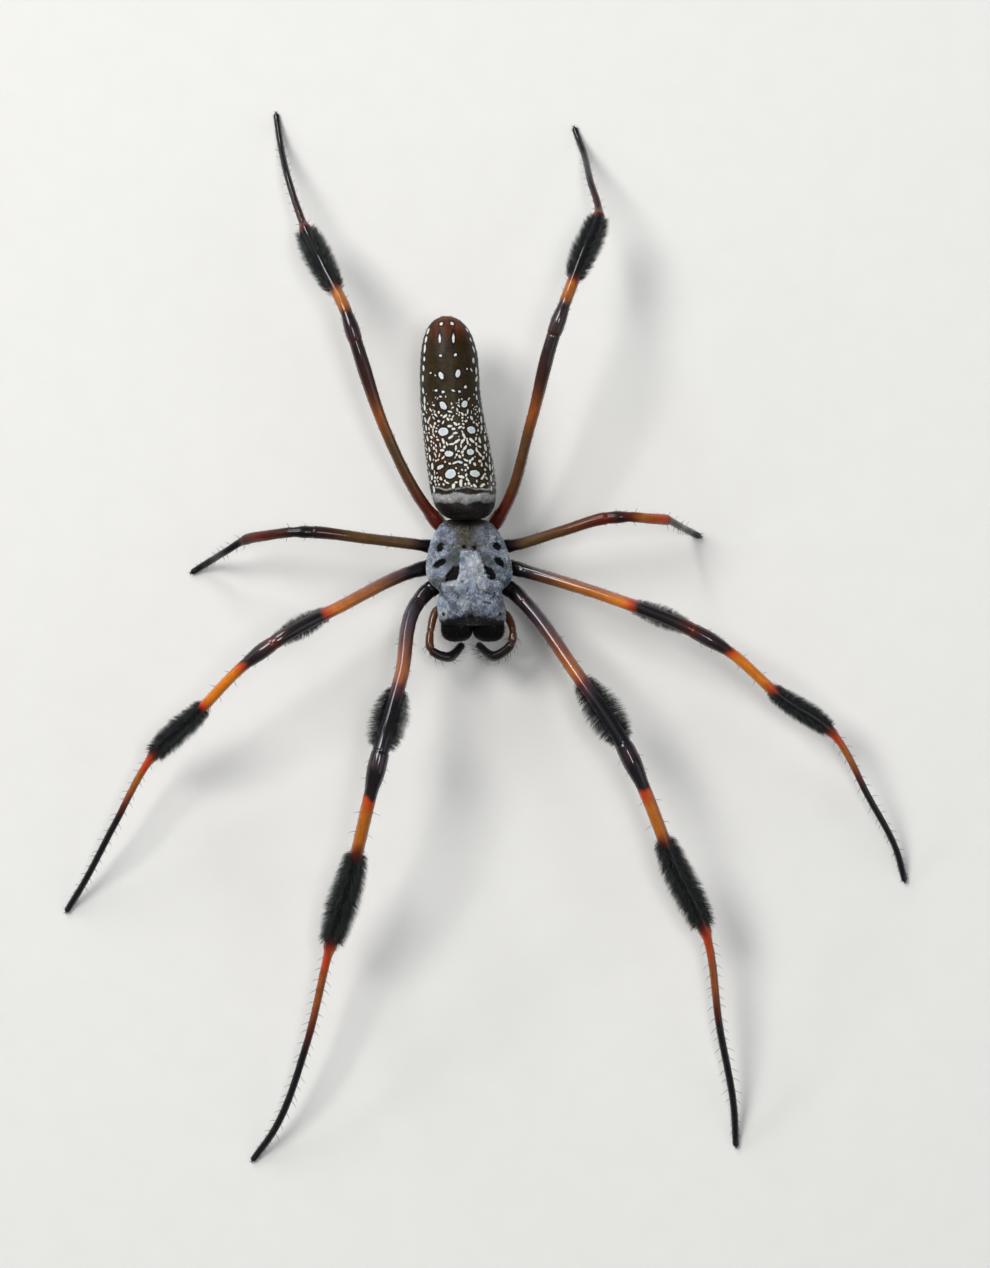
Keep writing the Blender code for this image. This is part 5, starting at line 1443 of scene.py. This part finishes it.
silverMaterial = hairMaterial("silverHair", 0.38, 0.25)
blackSettings = {"grainAround": 30.0, "grainAlong": 40.0, "mottleScale": 1100.0, "mottle": 0.15, "streak": 0.15,
                 "roughness": 0.42, "coat": 0.03, "gloss": 0.05, "pitScale": 5000.0, "bump": 0.3}
blackMaterial = cuticleMaterial("blackCuticle", blackSettings)
print("abdomen made with", makeAbdomen(silverMaterial), "flecks")
makeCarapace(silverMaterial)
print("carapace made")
makeEyes()
makeJaws(blackMaterial, fineHairMaterial)
makePalps(legSkinMaterial, fineHairMaterial)
makeWaist(blackMaterial)
makeSpinnerets(legSkinMaterial)
print("face, feelers and spinnerets made")


# stage, light and camera, all after the photo's view; the lengths here are in millimetres
stage = {"photoHeight": 1268, "pixel": 0.1, "lookX": 0.8, "lookY": 0.4, "height": 1200.0, "floorHalf": 900,
         "floorTones": ((0.84, 0.84, 0.82), (0.88, 0.88, 0.86))}
# name, place and size in metres, power in watts, colour
lamps = (
    ("keySoftbox", (-0.38, 0.30, 0.68), (0.30, 0.30), 3.9, (1.0, 0.98, 0.95)),
    ("backSoftbox", (-0.34, 0.80, 0.50), (0.17, 0.50), 2.6, (1.0, 0.99, 0.98)),
    ("fillSoftbox", (0.55, -0.10, 0.45), (0.50, 0.50), 0.55, (0.95, 0.98, 1.0)),
    ("leftStrip", (-0.62, 0.50, 0.40), (0.90, 0.10), 1.3, (0.97, 0.97, 1.0)),
    ("topSoftbox", (0.10, 0.05, 0.85), (0.22, 0.12), 1.3, (1.0, 1.0, 1.0)),
)


def makeStage():
    # a wide floor of plain pale paper
    half = stage["floorHalf"]
    points = np.array([[-half, -half, 0], [half, -half, 0], [half, half, 0], [-half, half, 0]], float)
    floor = buildMesh("floor", points, np.array([[0, 1, 2, 3]]), np.zeros((0, 3), int))
    material, tree, shader = newMaterial("floorPaper")
    grain = noise(tree, objectPlace(tree), 300.0, 4.0)
    plug(tree, shader, {"Base Color": mixColour(tree, grain, *stage["floorTones"]), "Roughness": 0.85})
    floor.data.materials.append(material)


def addLight(name, place, size, power, colour):
    # a rectangular lamp that looks at the spider's middle
    data = bpy.data.lights.new(name, "AREA")
    data.shape = "RECTANGLE"
    data.size, data.size_y = size
    data.energy = power
    data.color = colour
    lamp = bpy.data.objects.new(name, data)
    bpy.context.scene.collection.objects.link(lamp)
    lamp.location = place
    lamp.rotation_euler = (Vector(place) - Vector((0, 0, 0.005))).to_track_quat("Z", "Y").to_euler()


def makeCamera():
    # straight above, with the lens that gives the photo's scale: sensor height times distance over the view's height
    data = bpy.data.cameras.new("camera")
    camera = bpy.data.objects.new("camera", data)
    bpy.context.scene.collection.objects.link(camera)
    data.sensor_fit = "VERTICAL"
    data.sensor_height = 36.0
    data.lens = data.sensor_height * stage["height"] / (stage["photoHeight"] * stage["pixel"])
    data.clip_start, data.clip_end = 0.01, 20.0
    camera.location = (stage["lookX"] * mm, stage["lookY"] * mm, stage["height"] * mm)
    bpy.context.scene.camera = camera


def makeLighting():
    # the lamps of the table, a faint even sky, and colours shown as they are
    for lamp in lamps:
        addLight(*lamp)
    world = bpy.data.worlds.new("studio")
    world.use_nodes = True
    background = world.node_tree.nodes["Background"]
    background.inputs[0].default_value = (0.92, 0.95, 1.0, 1.0)
    background.inputs[1].default_value = 0.12
    bpy.context.scene.world = world
    bpy.context.scene.view_settings.view_transform = "Standard"


makeStage()
makeCamera()
makeLighting()
print("stage made")
